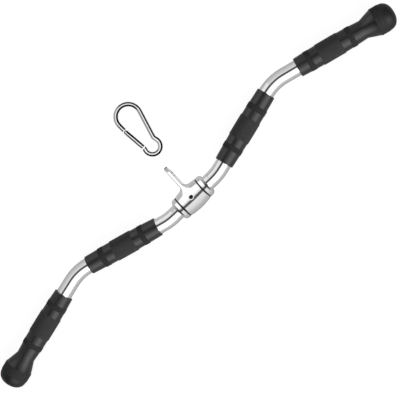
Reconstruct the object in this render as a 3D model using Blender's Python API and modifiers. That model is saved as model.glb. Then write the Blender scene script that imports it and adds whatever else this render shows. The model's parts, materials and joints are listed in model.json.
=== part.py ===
"""Revolving lat pulldown bar with rubber grips, a swivelling lug and a snap hook.

The bar lies on a level surface as it would on a table: X runs along the bar, Z is up, and the
lug and the snap hook lie on the +Y side. Lengths are in metres.
"""

import math

import bmesh
import bpy
from mathutils import Vector

MM = 0.001

# Fits
SEAT_GAP = 0.3 * MM
RUNNING_GAP = 0.3 * MM
MERGE_DISTANCE = 0.001 * MM

# Smoothness
TURNED_SIDES = 28
SMALL_SIDES = 16
TUBE_BEVEL_RESOLUTION = 10
WIRE_BEVEL_RESOLUTION = 3
SPRING_BEVEL_RESOLUTION = 1
BEND_STEP = math.radians(5.5)
BOW_STEP = math.radians(12.0)
OUTLINE_STEP = math.radians(15.0)
FLARE_STEP = math.radians(22.5)

# Bent tube
TUBE_RADIUS = 14.0 * MM
TUBE_WALL = 3.0 * MM
BEND_RADIUS = 84.0 * MM
RISE_ANGLE = math.radians(14.7)
FALL_ANGLE = math.radians(14.15)
BARE_BESIDE_COLLAR = 12.2 * MM
BARE_BEFORE_INNER_GRIP = 11.5 * MM
BARE_AFTER_INNER_GRIP = 0.9 * MM
BARE_BEFORE_OUTER_GRIP = 26.8 * MM

# Rubber grips. Each band is its length, then the rubber's thickness at its two ends.
INNER_GRIP_BANDS = (
    (24.5 * MM, 2.35 * MM, 3.15 * MM),
    (9.5 * MM, 3.9 * MM, 3.9 * MM),
    (14.0 * MM, 3.3 * MM, 3.6 * MM),
    (40.0 * MM, 4.7 * MM, 4.7 * MM),
    (14.5 * MM, 3.6 * MM, 3.5 * MM),
    (10.5 * MM, 3.9 * MM, 3.9 * MM),
    (26.0 * MM, 2.9 * MM, 2.3 * MM),
)
OUTER_GRIP_BANDS = (
    (19.0 * MM, 2.8 * MM, 3.7 * MM),
    (10.0 * MM, 4.3 * MM, 4.3 * MM),
    (13.5 * MM, 3.9 * MM, 4.2 * MM),
    (41.5 * MM, 5.2 * MM, 5.2 * MM),
    (14.5 * MM, 4.2 * MM, 4.0 * MM),
    (9.5 * MM, 4.4 * MM, 4.4 * MM),
    (20.0 * MM, 3.5 * MM, 2.3 * MM),
)
KNOB_CONE_LENGTH = 23.0 * MM
KNOB_BAND_LENGTH = 16.0 * MM
KNOB_BAND_RUBBER = 10.6 * MM
KNOB_BAND_STEP = 0.4 * MM
KNOB_DOME_LENGTH = 19.7 * MM
KNOB_DOME_FULLNESS = 2.3
KNOB_DOME_POINTS = 7
KNOB_END_RUBBER = 14.0 * MM

# Plugs in the tube's ends
PLUG_FLANGE = 2.0 * MM
PLUG_SPIGOT_LENGTH = 12.0 * MM
PLUG_WALL = 2.0 * MM

# Swivel hub
BUSHING_WALL = 2.0 * MM
HUB_HALF_LENGTH = 23.0 * MM
HUB_END_WALL = 4.1 * MM
HUB_CROWN = 2.4 * MM
HUB_PROFILE_POINTS = 8
GREASE_GAP = 4.0 * MM
WASHER_THICKNESS = 1.0 * MM
WASHER_RECESS = 0.3 * MM
COLLAR_STRAIGHT = 3.6 * MM
COLLAR_TAPER = 6.5 * MM
COLLAR_END_WALL = 0.9 * MM
COLLAR_TAPER_POINTS = 5

# Lug
LUG_THICKNESS = 6.5 * MM
LUG_FILLET = 10.0 * MM
LUG_ROOT_WIDTH_SHARE = 0.9
EYE_STANDOFF = 32.0 * MM
EYE_RADIUS = 8.5 * MM
EYE_WALL = 7.0 * MM

# Socket set screws
HUB_SCREW_RADIUS = 2.75 * MM
HUB_SCREW_RECESS = 0.6 * MM
HUB_SCREW_LENGTH = 5.0 * MM
HUB_SCREW_KEY = 3.0 * MM
COLLAR_SCREW_RADIUS = 2.0 * MM
COLLAR_SCREW_RECESS = 0.5 * MM
COLLAR_SCREW_KEY = 2.0 * MM
COLLAR_SCREW_INSET = 3.5 * MM
SOCKET_SHARE = 0.5

# Snap hook, measured on the wire's centre line
WIRE_RADIUS = 4.0 * MM
BIG_BOW_RADIUS = 21.9 * MM
SMALL_BOW_RADIUS = 14.1 * MM
BOWS_APART = 65.3 * MM
SMALL_BOW_OFFSET = -5.9 * MM
SPINE_LEAN = math.radians(16.7)
STEP_START_ANGLE = math.radians(4.0)
NOSE_START_ANGLE = math.radians(163.0)
STEP_RUN = 7.0 * MM
STEP_LEAD = 2.0 * MM
STEP_BEND = 4.5 * MM
HINGE_LEG = 11.9 * MM
NOSE_STRAIGHT = 3.6 * MM
NOSE_GAP = 2.2 * MM
HOOK_CLEAR_OF_LUG = 22.6 * MM
HOOK_OFFSET = 15.2 * MM

# Gate of the snap hook
HINGE_GAP = 0.5 * MM
HINGE_TONGUE_THICKNESS = 3.0 * MM
HINGE_TONGUE_WIDTH = 5.6 * MM
HINGE_TONGUE_REACH = 3.2 * MM
RIVET_RADIUS = 1.5 * MM
RIVET_LENGTH = 7.6 * MM
LATCH_PIN_RADIUS = 1.2 * MM
LATCH_PIN_LENGTH = 7.2 * MM
LATCH_PIN_FROM_END = 3.0 * MM
LATCH_TONGUE_THICKNESS = 2.4 * MM
LATCH_TONGUE_WIDTH = 5.2 * MM
LATCH_TIP = 1.7 * MM
TONGUE_ROOT = 3.0 * MM
PLUNGER_RADIUS = 1.5 * MM
PLUNGER_LENGTH = 5.0 * MM
SPRING_LENGTH = 7.0 * MM
SPRING_TURNS = 6
SPRING_TURN_POINTS = 8
SPRING_WIRE_RADIUS = 0.3 * MM

# Sizes that follow from the ones above
BORE_RADIUS = TUBE_RADIUS + SEAT_GAP
BUSHING_BORE = TUBE_RADIUS + RUNNING_GAP
BUSHING_RADIUS = BUSHING_BORE + BUSHING_WALL
HUB_BORE = BUSHING_RADIUS + SEAT_GAP
HUB_END_RADIUS = HUB_BORE + HUB_END_WALL
HUB_RADIUS = HUB_END_RADIUS + HUB_CROWN
WASHER_START = HUB_HALF_LENGTH + RUNNING_GAP
COLLAR_START = WASHER_START + WASHER_THICKNESS + RUNNING_GAP
COLLAR_LENGTH = COLLAR_STRAIGHT + COLLAR_TAPER
COLLAR_END = COLLAR_START + COLLAR_LENGTH
EYE_DISTANCE = HUB_RADIUS + EYE_STANDOFF
EYE_OUTER_RADIUS = EYE_RADIUS + EYE_WALL
LUG_REACH = EYE_DISTANCE + EYE_OUTER_RADIUS
INNER_GRIP_LENGTH = sum(band[0] for band in INNER_GRIP_BANDS)
OUTER_SLEEVE_LENGTH = sum(band[0] for band in OUTER_GRIP_BANDS)
KNOB_LENGTH = KNOB_CONE_LENGTH + KNOB_BAND_LENGTH + KNOB_DOME_LENGTH
OUTER_GRIP_LENGTH = OUTER_SLEEVE_LENGTH + KNOB_LENGTH
OUTER_BORE_DEPTH = OUTER_GRIP_LENGTH - KNOB_END_RUBBER
TUBE_IN_OUTER_GRIP = OUTER_BORE_DEPTH - PLUG_FLANGE - 2 * SEAT_GAP

CHROME = ("Chrome plated steel", (0.78, 0.78, 0.79), 0.08, 1.0)
RUBBER = ("Black rubber", (0.032, 0.032, 0.034), 0.6, 0.0)
BLACK_NYLON = ("Black nylon", (0.02, 0.02, 0.02), 0.5, 0.0)
WHITE_NYLON = ("White nylon", (0.72, 0.71, 0.66), 0.45, 0.0)
BLACK_STEEL = ("Blackened steel", (0.02, 0.02, 0.022), 0.4, 1.0)
SPRING_STEEL = ("Spring steel", (0.45, 0.45, 0.46), 0.3, 1.0)
GREY_PLASTIC = ("Grey plastic", (0.25, 0.25, 0.25), 0.5, 0.0)


def clear_scene():
    for obj in list(bpy.data.objects):
        bpy.data.objects.remove(obj)


def new_collection(name):
    collection = bpy.data.collections.new(name)
    bpy.context.scene.collection.children.link(collection)
    return collection


def material_for(finish):
    name, colour, roughness, metallic = finish
    material = bpy.data.materials.get(name)
    if material is None:
        material = bpy.data.materials.new(name)
        material.use_nodes = True
        shader = material.node_tree.nodes["Principled BSDF"]
        shader.inputs["Base Color"].default_value = (*colour, 1.0)
        shader.inputs["Roughness"].default_value = roughness
        shader.inputs["Metallic"].default_value = metallic
    return material


def add_object(name, data, parent, location=(0, 0, 0), rotation=(0, 0, 0), finish=None):
    """Place a piece in the part's collection, or a helper shape in the cutters' one."""
    obj = bpy.data.objects.new(name, data)
    if finish is None:
        CUTTERS.objects.link(obj)
        obj.hide_render = True
        obj.display_type = "WIRE"
    else:
        PIECES.objects.link(obj)
        obj.data.materials.append(material_for(finish))
    obj.parent = parent
    obj.location = location
    obj.rotation_euler = rotation
    return obj


def add_frame(name, parent=None, location=(0, 0, 0), rotation=(0, 0, 0)):
    frame = bpy.data.objects.new(name, None)
    PIECES.objects.link(frame)
    frame.parent = parent
    frame.location = location
    frame.rotation_euler = rotation
    return frame


def along(angle):
    """Rotation that lays a turned piece's own axis in the XY plane, at an angle from +X."""
    return (math.pi / 2, 0, math.pi / 2 + angle)


def turned(name, profile, parent, location=(0, 0, 0), rotation=(0, 0, 0), finish=None,
           sides=TURNED_SIDES):
    """Turn (radius, height) points about the piece's own Z axis.

    The points run down the outer side. A profile that doesn't start on the axis is a closed loop.
    """
    mesh = bpy.data.meshes.new(name)
    edges = [(i, i + 1) for i in range(len(profile) - 1)]
    if profile[0][0] > 0:
        edges.append((len(profile) - 1, 0))
    mesh.from_pydata([(radius, 0, height) for radius, height in profile], edges, [])
    obj = add_object(name, mesh, parent, location, rotation, finish)
    screw = obj.modifiers.new("Turn", "SCREW")
    screw.steps = screw.render_steps = sides
    screw.use_merge_vertices = True
    screw.merge_threshold = MERGE_DISTANCE
    screw.use_smooth_shade = True
    return obj


def cylinder(name, radius, low, high, parent, location=(0, 0, 0), rotation=(0, 0, 0), finish=None,
             sides=SMALL_SIDES):
    profile = [(0, high), (radius, high), (radius, low), (0, low)]
    return turned(name, profile, parent, location, rotation, finish, sides)


def sleeve(name, outer, bore, parent, location, rotation, finish):
    """Turn a sleeve from its outer (height, radius) points, listed upwards."""
    profile = [(radius, height) for height, radius in reversed(outer)]
    profile += [(bore, outer[0][0]), (bore, outer[-1][0])]
    return turned(name, profile, parent, location, rotation, finish)


def block(name, size, parent, location):
    mesh = bpy.data.meshes.new(name)
    work = bmesh.new()
    bmesh.ops.create_cube(work, size=1.0)
    bmesh.ops.scale(work, vec=size, verts=work.verts)
    work.to_mesh(mesh)
    work.free()
    return add_object(name, mesh, parent, location)


def curve_to_mesh(curve_object, finish=None):
    """Replace a curve object by the mesh that it draws, with its loose caps welded."""
    bpy.context.view_layer.update()
    graph = bpy.context.evaluated_depsgraph_get()
    mesh = bpy.data.meshes.new_from_object(curve_object.evaluated_get(graph))
    work = bmesh.new()
    work.from_mesh(mesh)
    bmesh.ops.remove_doubles(work, verts=work.verts, dist=MERGE_DISTANCE)
    work.to_mesh(mesh)
    work.free()
    mesh.materials.clear()
    mesh.shade_smooth()
    mesh.set_sharp_from_angle(angle=math.radians(40))
    name = curve_object.name
    parent = curve_object.parent
    place = curve_object.location.copy(), curve_object.rotation_euler.copy()
    bpy.data.objects.remove(curve_object)
    return add_object(name, mesh, parent, place[0], place[1], finish)


def wire(name, points, radius, resolution, parent, location=(0, 0, 0), rotation=(0, 0, 0),
         finish=None, caps=True):
    """Round wire or tube along a list of points."""
    curve = bpy.data.curves.new(name, "CURVE")
    curve.dimensions = "3D"
    curve.bevel_depth = radius
    curve.bevel_resolution = resolution
    curve.use_fill_caps = caps
    spline = curve.splines.new("POLY")
    spline.points.add(len(points) - 1)
    for spline_point, point in zip(spline.points, points):
        spline_point.co = (*point, 1)
    return curve_to_mesh(add_object(name, curve, parent, location, rotation), finish)


def plate(name, outlines, thickness, parent, location=(0, 0, 0), rotation=(0, 0, 0)):
    """Flat plate with the given outlines in its own XY plane, centred on its thickness."""
    curve = bpy.data.curves.new(name, "CURVE")
    curve.dimensions = "2D"
    curve.fill_mode = "BOTH"
    curve.extrude = thickness / 2
    for outline in outlines:
        spline = curve.splines.new("POLY")
        spline.points.add(len(outline) - 1)
        for spline_point, point in zip(spline.points, outline):
            spline_point.co = (point[0], point[1], 0, 1)
        spline.use_cyclic_u = True
    return curve_to_mesh(add_object(name, curve, parent, location, rotation))


def combine(obj, other, operation):
    modifier = obj.modifiers.new(operation.title() + " " + other.name, "BOOLEAN")
    modifier.operation = operation
    modifier.solver = "EXACT"
    modifier.object = other


def arc(centre, radius, start, end, step):
    """Points of an arc in the XY plane, both ends included."""
    count = max(1, math.ceil(abs(end - start) / step - 1e-6))
    angles = [start + (end - start) * i / count for i in range(count + 1)]
    return [
        Vector((centre[0] + radius * math.cos(a), centre[1] + radius * math.sin(a), 0))
        for a in angles
    ]


def rounded_path(corners, radii, step):
    """Straight runs between corners in the XY plane, joined by arcs of the given radii."""
    corners = [Vector((corner[0], corner[1], 0)) for corner in corners]
    points = [corners[0]]
    for before, corner, after, radius in zip(corners, corners[1:], corners[2:], radii):
        arriving = (corner - before).normalized()
        leaving = (after - corner).normalized()
        turn = math.atan2(arriving.cross(leaving).z, arriving.dot(leaving))
        side = Vector((-arriving.y, arriving.x, 0)) * math.copysign(1, turn)
        start = corner - arriving * radius * math.tan(abs(turn) / 2)
        centre = start + side * radius
        angle = math.atan2(start.y - centre.y, start.x - centre.x)
        points += arc(centre, radius, angle, angle + turn, step)
    return points + [corners[-1]]


def hexagon(width):
    """Corners of a hexagon that measures width across its flats."""
    corner = width / 2 / math.cos(math.pi / 6)
    return [(corner * math.cos(a), corner * math.sin(a)) for a in
            [math.pi / 3 * i for i in range(6)]]


def layout_of_tube():
    """Corners of the tube's right half in the bar's own plane, and where its grips start."""
    centre_tangent = BEND_RADIUS * math.tan(RISE_ANGLE / 2)
    peak_tangent = BEND_RADIUS * math.tan((RISE_ANGLE + FALL_ANGLE) / 2)
    rise = Vector((math.cos(RISE_ANGLE), math.sin(RISE_ANGLE), 0))
    fall = Vector((math.cos(FALL_ANGLE), -math.sin(FALL_ANGLE), 0))
    valley = Vector((COLLAR_END + BARE_BESIDE_COLLAR + centre_tangent, 0, 0))
    inner_grip = valley + rise * (centre_tangent + BARE_BEFORE_INNER_GRIP)
    peak = inner_grip + rise * (INNER_GRIP_LENGTH + BARE_AFTER_INNER_GRIP + peak_tangent)
    outer_grip = peak + fall * (peak_tangent + BARE_BEFORE_OUTER_GRIP)
    end = outer_grip + fall * TUBE_IN_OUTER_GRIP
    return valley, peak, end, inner_grip, outer_grip


def band_profile(bands):
    """Outer (distance, radius) points of a grip's bands, from its start."""
    points = []
    distance = 0.0
    for length, first, last in bands:
        points.append((distance, BORE_RADIUS + first))
        distance += length
        points.append((distance, BORE_RADIUS + last))
    return points


def knob_profile():
    """Outer points of the knob that closes an outer grip, as far as its tip on the axis."""
    cone_end = OUTER_SLEEVE_LENGTH + KNOB_CONE_LENGTH
    band_end = cone_end + KNOB_BAND_LENGTH
    radius = BORE_RADIUS + KNOB_BAND_RUBBER
    points = [
        (cone_end, radius - KNOB_BAND_STEP),
        (cone_end, radius),
        (band_end, radius),
    ]
    for i in range(KNOB_DOME_POINTS):
        share = math.sin(math.pi / 2 * i / KNOB_DOME_POINTS)
        width = (1 - share**KNOB_DOME_FULLNESS) ** (1 / KNOB_DOME_FULLNESS)
        points.append((band_end + KNOB_DOME_LENGTH * share, (radius - KNOB_BAND_STEP) * width))
    points.append((band_end + KNOB_DOME_LENGTH, 0.0))
    return points


def resting_pose(inner_grip, outer_grip):
    """Tilt and height of the bar's plane when it rests on its knobs and its grips.

    The plane falls towards +Y. A station at y in the plane, with radius r, rests on the surface
    when the plane's height at y = 0 is r + y * sin(tilt).
    """
    def stations(start, angle, profile):
        return [(start.y + distance * math.sin(angle), radius) for distance, radius in profile]

    grips = stations(inner_grip, RISE_ANGLE, band_profile(INNER_GRIP_BANDS))
    grips += stations(outer_grip, -FALL_ANGLE, band_profile(OUTER_GRIP_BANDS))
    knob = stations(outer_grip, -FALL_ANGLE, knob_profile())

    def height(group, slope):
        return max(radius + y * slope for y, radius in group)

    low, high = 0.0, 1.0
    for _ in range(50):
        middle = (low + high) / 2
        if height(knob, middle) > height(grips, middle):
            low = middle
        else:
            high = middle
    return math.asin(low), height(knob, low)


def build_tube(parent, corners):
    valley, peak, end = corners
    right = [valley, peak, end]
    left = [Vector((-corner.x, corner.y, 0)) for corner in reversed(right)]
    points = rounded_path(left + right, [BEND_RADIUS] * 4, BEND_STEP)
    tube = wire("bar_tube", points, TUBE_RADIUS, TUBE_BEVEL_RESOLUTION, parent, finish=CHROME,
                caps=False)
    shell = tube.modifiers.new("Wall", "SOLIDIFY")
    shell.thickness = TUBE_WALL
    shell.offset = -1
    shell.use_even_offset = True


def build_grips(parent, inner_grip, outer_grip):
    for name, side in (("left", -1), ("right", 1)):
        def heading(angle, side=side):
            return along(angle if side > 0 else math.pi - angle)

        sleeve(f"inner_{name}_grip", band_profile(INNER_GRIP_BANDS), BORE_RADIUS, parent,
               (side * inner_grip.x, inner_grip.y, 0), heading(RISE_ANGLE), RUBBER)
        outer = band_profile(OUTER_GRIP_BANDS) + knob_profile()
        profile = [(radius, height) for height, radius in reversed(outer)]
        profile += [(BORE_RADIUS, 0), (BORE_RADIUS, OUTER_BORE_DEPTH), (0, OUTER_BORE_DEPTH)]
        turned(f"outer_{name}_grip", profile, parent,
               (side * outer_grip.x, outer_grip.y, 0), heading(-FALL_ANGLE), RUBBER)

        # The plug is a cup whose flange covers the tube's end.
        spigot = TUBE_RADIUS - TUBE_WALL - SEAT_GAP
        rim = TUBE_IN_OUTER_GRIP + SEAT_GAP
        foot = rim - PLUG_SPIGOT_LENGTH
        profile = [
            (0, rim + PLUG_FLANGE),
            (TUBE_RADIUS, rim + PLUG_FLANGE),
            (TUBE_RADIUS, rim),
            (spigot, rim),
            (spigot, foot),
            (spigot - PLUG_WALL, foot),
            (spigot - PLUG_WALL, rim),
            (0, rim),
        ]
        turned(f"{name}_tube_plug", profile, parent,
               (side * outer_grip.x, outer_grip.y, 0), heading(-FALL_ANGLE), GREY_PLASTIC)


def set_screw(name, radius, length, key, parent, location, rotation):
    """Socket set screw that points along its own -Z, with its top at its own origin."""
    screw = cylinder(name, radius, -length, 0, parent, location, rotation, BLACK_STEEL)
    depth = length * SOCKET_SHARE
    socket = plate(name + "_socket", [hexagon(key)], 2 * depth, parent, location, rotation)
    combine(screw, socket, "DIFFERENCE")


def build_collars(parent):
    for name, side in (("left", -1), ("right", 1)):
        rotation = along(0 if side > 0 else math.pi)
        washer = [(WASHER_START, HUB_END_RADIUS - WASHER_RECESS),
                  (WASHER_START + WASHER_THICKNESS, HUB_END_RADIUS - WASHER_RECESS)]
        sleeve(f"{name}_thrust_washer", washer, BORE_RADIUS, parent, (0, 0, 0), rotation,
               BLACK_NYLON)

        end_radius = BORE_RADIUS + COLLAR_END_WALL
        outer = [(COLLAR_START, HUB_END_RADIUS)]
        for i in range(COLLAR_TAPER_POINTS + 1):
            share = math.pi / 2 * i / COLLAR_TAPER_POINTS
            outer.append((
                COLLAR_START + COLLAR_STRAIGHT + COLLAR_TAPER * math.sin(share),
                end_radius + (HUB_END_RADIUS - end_radius) * math.cos(share),
            ))
        collar = sleeve(f"{name}_collar", outer, BORE_RADIUS, parent, (0, 0, 0), rotation, CHROME)

        # The set screw enters from underneath, near the collar's wide end.
        middle = side * (COLLAR_START + COLLAR_SCREW_INSET)
        down = (math.pi, 0, 0)
        hole = cylinder(f"{name}_collar_screw_hole", COLLAR_SCREW_RADIUS + SEAT_GAP, TUBE_RADIUS / 2,
                        HUB_RADIUS, parent, (middle, 0, 0), down)
        combine(collar, hole, "DIFFERENCE")
        top = HUB_END_RADIUS - COLLAR_SCREW_RECESS
        set_screw(f"{name}_collar_screw", COLLAR_SCREW_RADIUS, top - TUBE_RADIUS - SEAT_GAP,
                  COLLAR_SCREW_KEY, parent, (middle, 0, -top), down)


def barrel_radius(distance):
    """Outer radius of the barrel at a distance from its middle."""
    return HUB_RADIUS - HUB_CROWN * (distance / HUB_HALF_LENGTH) ** 2


def lug_shape(parent):
    """Flat lug whose root flares into the barrel and whose sides run straight to the eye."""
    half = LUG_THICKNESS / 2
    foot = half + LUG_FILLET
    flare = arc((foot, barrel_radius(foot) + LUG_FILLET), LUG_FILLET, math.pi, 1.5 * math.pi,
                FLARE_STEP)
    right = [(half, LUG_REACH + LUG_FILLET)] + [(point.x, point.y) for point in flare]
    right.append((foot, HUB_BORE))
    profile = [(radius, height) for height, radius in reversed(right)]
    profile += [(radius, -height) for height, radius in right]
    profile.reverse()
    middle = len(profile) // 2
    profile = profile[middle:] + profile[:middle]
    disc = turned("lug", profile, parent, rotation=along(0))

    root_radius = HUB_RADIUS * LUG_ROOT_WIDTH_SHARE
    lean = math.asin((root_radius - EYE_OUTER_RADIUS) / EYE_DISTANCE)
    tip = arc((EYE_DISTANCE, 0), EYE_OUTER_RADIUS, lean - math.pi / 2, math.pi / 2 - lean,
              OUTLINE_STEP)
    root_side = root_radius * math.cos(lean)
    root_along = root_radius * math.sin(lean)
    outline = [(point.x, point.y) for point in tip]
    outline += [(root_along, root_side), (root_along, -root_side)]
    width = LUG_THICKNESS + 2 * LUG_FILLET + LUG_THICKNESS
    sides = plate("lug_outline", [outline], width, parent, rotation=along(0))
    combine(disc, sides, "INTERSECT")
    return disc


def build_swivel(parent):
    heights = [HUB_HALF_LENGTH * (1 - 2 * i / HUB_PROFILE_POINTS)
               for i in range(HUB_PROFILE_POINTS + 1)]
    profile = [(0, HUB_HALF_LENGTH)]
    profile += [(barrel_radius(height), height) for height in heights]
    profile += [(0, -HUB_HALF_LENGTH)]
    hub = turned("swivel_hub", profile, parent, rotation=along(0), finish=CHROME)
    combine(hub, lug_shape(parent), "UNION")
    bore = cylinder("hub_bore", HUB_BORE, -HUB_RADIUS * 2, HUB_RADIUS * 2, parent,
                    rotation=along(0), sides=TURNED_SIDES)
    eye = cylinder("lug_eye", EYE_RADIUS, -LUG_THICKNESS, LUG_THICKNESS, parent,
                   (0, EYE_DISTANCE, 0), along(0), sides=TURNED_SIDES)
    screw_hole = cylinder("hub_screw_hole", HUB_SCREW_RADIUS + SEAT_GAP, TUBE_RADIUS / 2,
                          2 * HUB_RADIUS, parent)
    for cutter in (bore, eye, screw_hole):
        combine(hub, cutter, "DIFFERENCE")

    for name, side in (("left", -1), ("right", 1)):
        outer = [(GREASE_GAP / 2, BUSHING_RADIUS), (HUB_HALF_LENGTH, BUSHING_RADIUS)]
        sleeve(f"{name}_bushing", outer, BUSHING_BORE, parent, (0, 0, 0),
               along(0 if side > 0 else math.pi), WHITE_NYLON)
    set_screw("hub_set_screw", HUB_SCREW_RADIUS, HUB_SCREW_LENGTH, HUB_SCREW_KEY, parent,
              (0, 0, HUB_RADIUS - HUB_SCREW_RECESS), (0, 0, 0))


def unit(angle):
    return Vector((math.cos(angle), math.sin(angle), 0))


def hook_path():
    """Centre line of the hook's wire, from the hinge leg round both bows to the nose."""
    big = arc((0, 0), BIG_BOW_RADIUS, math.pi, -SPINE_LEAN, BOW_STEP)
    centre = (SMALL_BOW_OFFSET, -BOWS_APART)
    small = arc(centre, SMALL_BOW_RADIUS, STEP_START_ANGLE, NOSE_START_ANGLE - math.tau, BOW_STEP)
    leg_end = big[0] + Vector((0, -HINGE_LEG, 0))
    nose = small[-1] + unit(NOSE_START_ANGLE - math.pi / 2) * NOSE_STRAIGHT

    # The straight spine steps out to the small bow in an S of two short bends.
    landing = small[0] + unit(STEP_START_ANGLE + math.pi / 2) * STEP_LEAD
    spine = (big[-1].y - landing.y) / math.cos(SPINE_LEAN) - STEP_RUN
    takeoff = big[-1] + unit(-math.pi / 2 - SPINE_LEAN) * spine
    step = rounded_path([big[-1], takeoff, landing, small[0]], [STEP_BEND, STEP_BEND], BOW_STEP)
    return [leg_end] + big + step[1:-1] + small + [nose]


def build_hook(parent, gate_frame, gate_length):
    points = hook_path()
    past_nose = points[-1] + (points[-1] - points[-2]).normalized() * 2 * WIRE_RADIUS
    hook = wire("snap_hook_body", points + [past_nose], WIRE_RADIUS, WIRE_BEVEL_RESOLUTION, parent,
                finish=CHROME)

    # In the gate's frame the gate runs from its pivot towards -Y, and +X is inside the hook.
    nose_face = gate_length + NOSE_GAP
    nose_cut = block("nose_cut", (5 * WIRE_RADIUS, 4 * WIRE_RADIUS, 4 * WIRE_RADIUS), gate_frame,
                     (0, 2 * WIRE_RADIUS - nose_face, 0))
    combine(hook, nose_cut, "DIFFERENCE")

    half = HINGE_TONGUE_WIDTH / 2
    shoulder = WIRE_RADIUS + HINGE_GAP
    outline = [(-half, shoulder + TONGUE_ROOT), (-half, -HINGE_TONGUE_REACH),
               (half, -HINGE_TONGUE_REACH), (half, shoulder + TONGUE_ROOT)]
    hole = arc((0, 0), RIVET_RADIUS + SEAT_GAP, 0, math.tau, OUTLINE_STEP * 2)[:-1]
    hinge_tongue = plate("hinge_tongue", [outline, hole], HINGE_TONGUE_THICKNESS, gate_frame)
    combine(hook, hinge_tongue, "UNION")

    half = LATCH_TONGUE_WIDTH / 2
    room = LATCH_PIN_RADIUS + SEAT_GAP
    pin = gate_length - LATCH_PIN_FROM_END
    outline = [(-half, room + LATCH_TIP - pin), (-half, -nose_face - TONGUE_ROOT),
               (half, -nose_face - TONGUE_ROOT), (half, -room - pin), (-room, -room - pin),
               (-room, room - pin), (half, room - pin), (half, room + LATCH_TIP - pin)]
    latch_tongue = plate("latch_tongue", [outline], LATCH_TONGUE_THICKNESS, gate_frame)
    combine(hook, latch_tongue, "UNION")

    cylinder("gate_rivet", RIVET_RADIUS, -RIVET_LENGTH / 2, RIVET_LENGTH / 2, gate_frame,
             finish=CHROME)


def build_gate(frame, length):
    """Gate along the frame's -Y, hung on the rivet at the frame's origin."""
    towards_nose = (math.pi / 2, 0, 0)
    dome = arc((0, 0), WIRE_RADIUS, 0, math.pi / 2, OUTLINE_STEP)
    profile = [(0, length), (WIRE_RADIUS, length)]
    profile += [(point.x, -point.y) for point in dome[:-1]] + [(0, -WIRE_RADIUS)]
    gate = turned("snap_hook_gate", profile, frame, rotation=towards_nose, finish=CHROME,
                  sides=SMALL_SIDES)

    swing = math.hypot(HINGE_TONGUE_WIDTH / 2, HINGE_TONGUE_REACH) + SEAT_GAP
    hinge_slot = block("hinge_slot", (
        3 * WIRE_RADIUS, swing + 2 * WIRE_RADIUS, HINGE_TONGUE_THICKNESS + 2 * RUNNING_GAP,
    ), frame, (0, WIRE_RADIUS - swing / 2, 0))
    pin = length - LATCH_PIN_FROM_END
    latch_depth = LATCH_PIN_FROM_END + LATCH_PIN_RADIUS + LATCH_TIP + 3 * SEAT_GAP
    latch_slot = block("latch_slot", (
        3 * WIRE_RADIUS, 2 * latch_depth, LATCH_TONGUE_THICKNESS + 2 * RUNNING_GAP,
    ), frame, (0, -length, 0))
    plunger_end = HINGE_TONGUE_REACH + SEAT_GAP
    spring_start = plunger_end + PLUNGER_LENGTH + SEAT_GAP
    bore_end = spring_start + SPRING_LENGTH + SEAT_GAP
    bore = cylinder("gate_bore", PLUNGER_RADIUS + SEAT_GAP, RIVET_RADIUS + 2 * SEAT_GAP, bore_end, frame,
                    rotation=towards_nose)
    rivet_hole = cylinder("rivet_hole", RIVET_RADIUS + SEAT_GAP, -2 * WIRE_RADIUS,
                          2 * WIRE_RADIUS, frame)
    pin_hole = cylinder("latch_pin_hole", LATCH_PIN_RADIUS + SEAT_GAP, -2 * WIRE_RADIUS,
                        2 * WIRE_RADIUS, frame, (0, -pin, 0))
    for cutter in (hinge_slot, latch_slot, bore, rivet_hole, pin_hole):
        combine(gate, cutter, "DIFFERENCE")

    cylinder("latch_pin", LATCH_PIN_RADIUS, -LATCH_PIN_LENGTH / 2, LATCH_PIN_LENGTH / 2, frame,
             (0, -pin, 0), finish=CHROME)
    cylinder("spring_plunger", PLUNGER_RADIUS, plunger_end, plunger_end + PLUNGER_LENGTH, frame,
             rotation=towards_nose, finish=SPRING_STEEL)

    coil_radius = PLUNGER_RADIUS - SPRING_WIRE_RADIUS
    steps = SPRING_TURNS * SPRING_TURN_POINTS
    rise = SPRING_LENGTH - 2 * SPRING_WIRE_RADIUS
    helix = []
    for i in range(steps + 1):
        angle = math.tau * i / SPRING_TURN_POINTS
        height = spring_start + SPRING_WIRE_RADIUS + rise * i / steps
        helix.append((coil_radius * math.cos(angle), coil_radius * math.sin(angle), height))
    wire("gate_spring", helix, SPRING_WIRE_RADIUS, SPRING_BEVEL_RESOLUTION, frame,
         rotation=towards_nose, finish=SPRING_STEEL)
    print("least gap between spring turns, mm:",
          round((rise / SPRING_TURNS - 2 * SPRING_WIRE_RADIUS) / MM, 3))


def centre_on_origin(layout):
    """Move everything so that the box of all the pieces stands centred on the origin."""
    bpy.context.view_layer.update()
    graph = bpy.context.evaluated_depsgraph_get()
    corners = []
    for obj in PIECES.objects:
        if obj.type == "MESH":
            evaluated = obj.evaluated_get(graph)
            corners += [evaluated.matrix_world @ vertex.co for vertex in evaluated.data.vertices]
    low = [min(corner[i] for corner in corners) for i in range(3)]
    high = [max(corner[i] for corner in corners) for i in range(3)]
    layout.location = (-(low[0] + high[0]) / 2, -(low[1] + high[1]) / 2, -low[2])
    bpy.context.view_layer.update()


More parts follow.
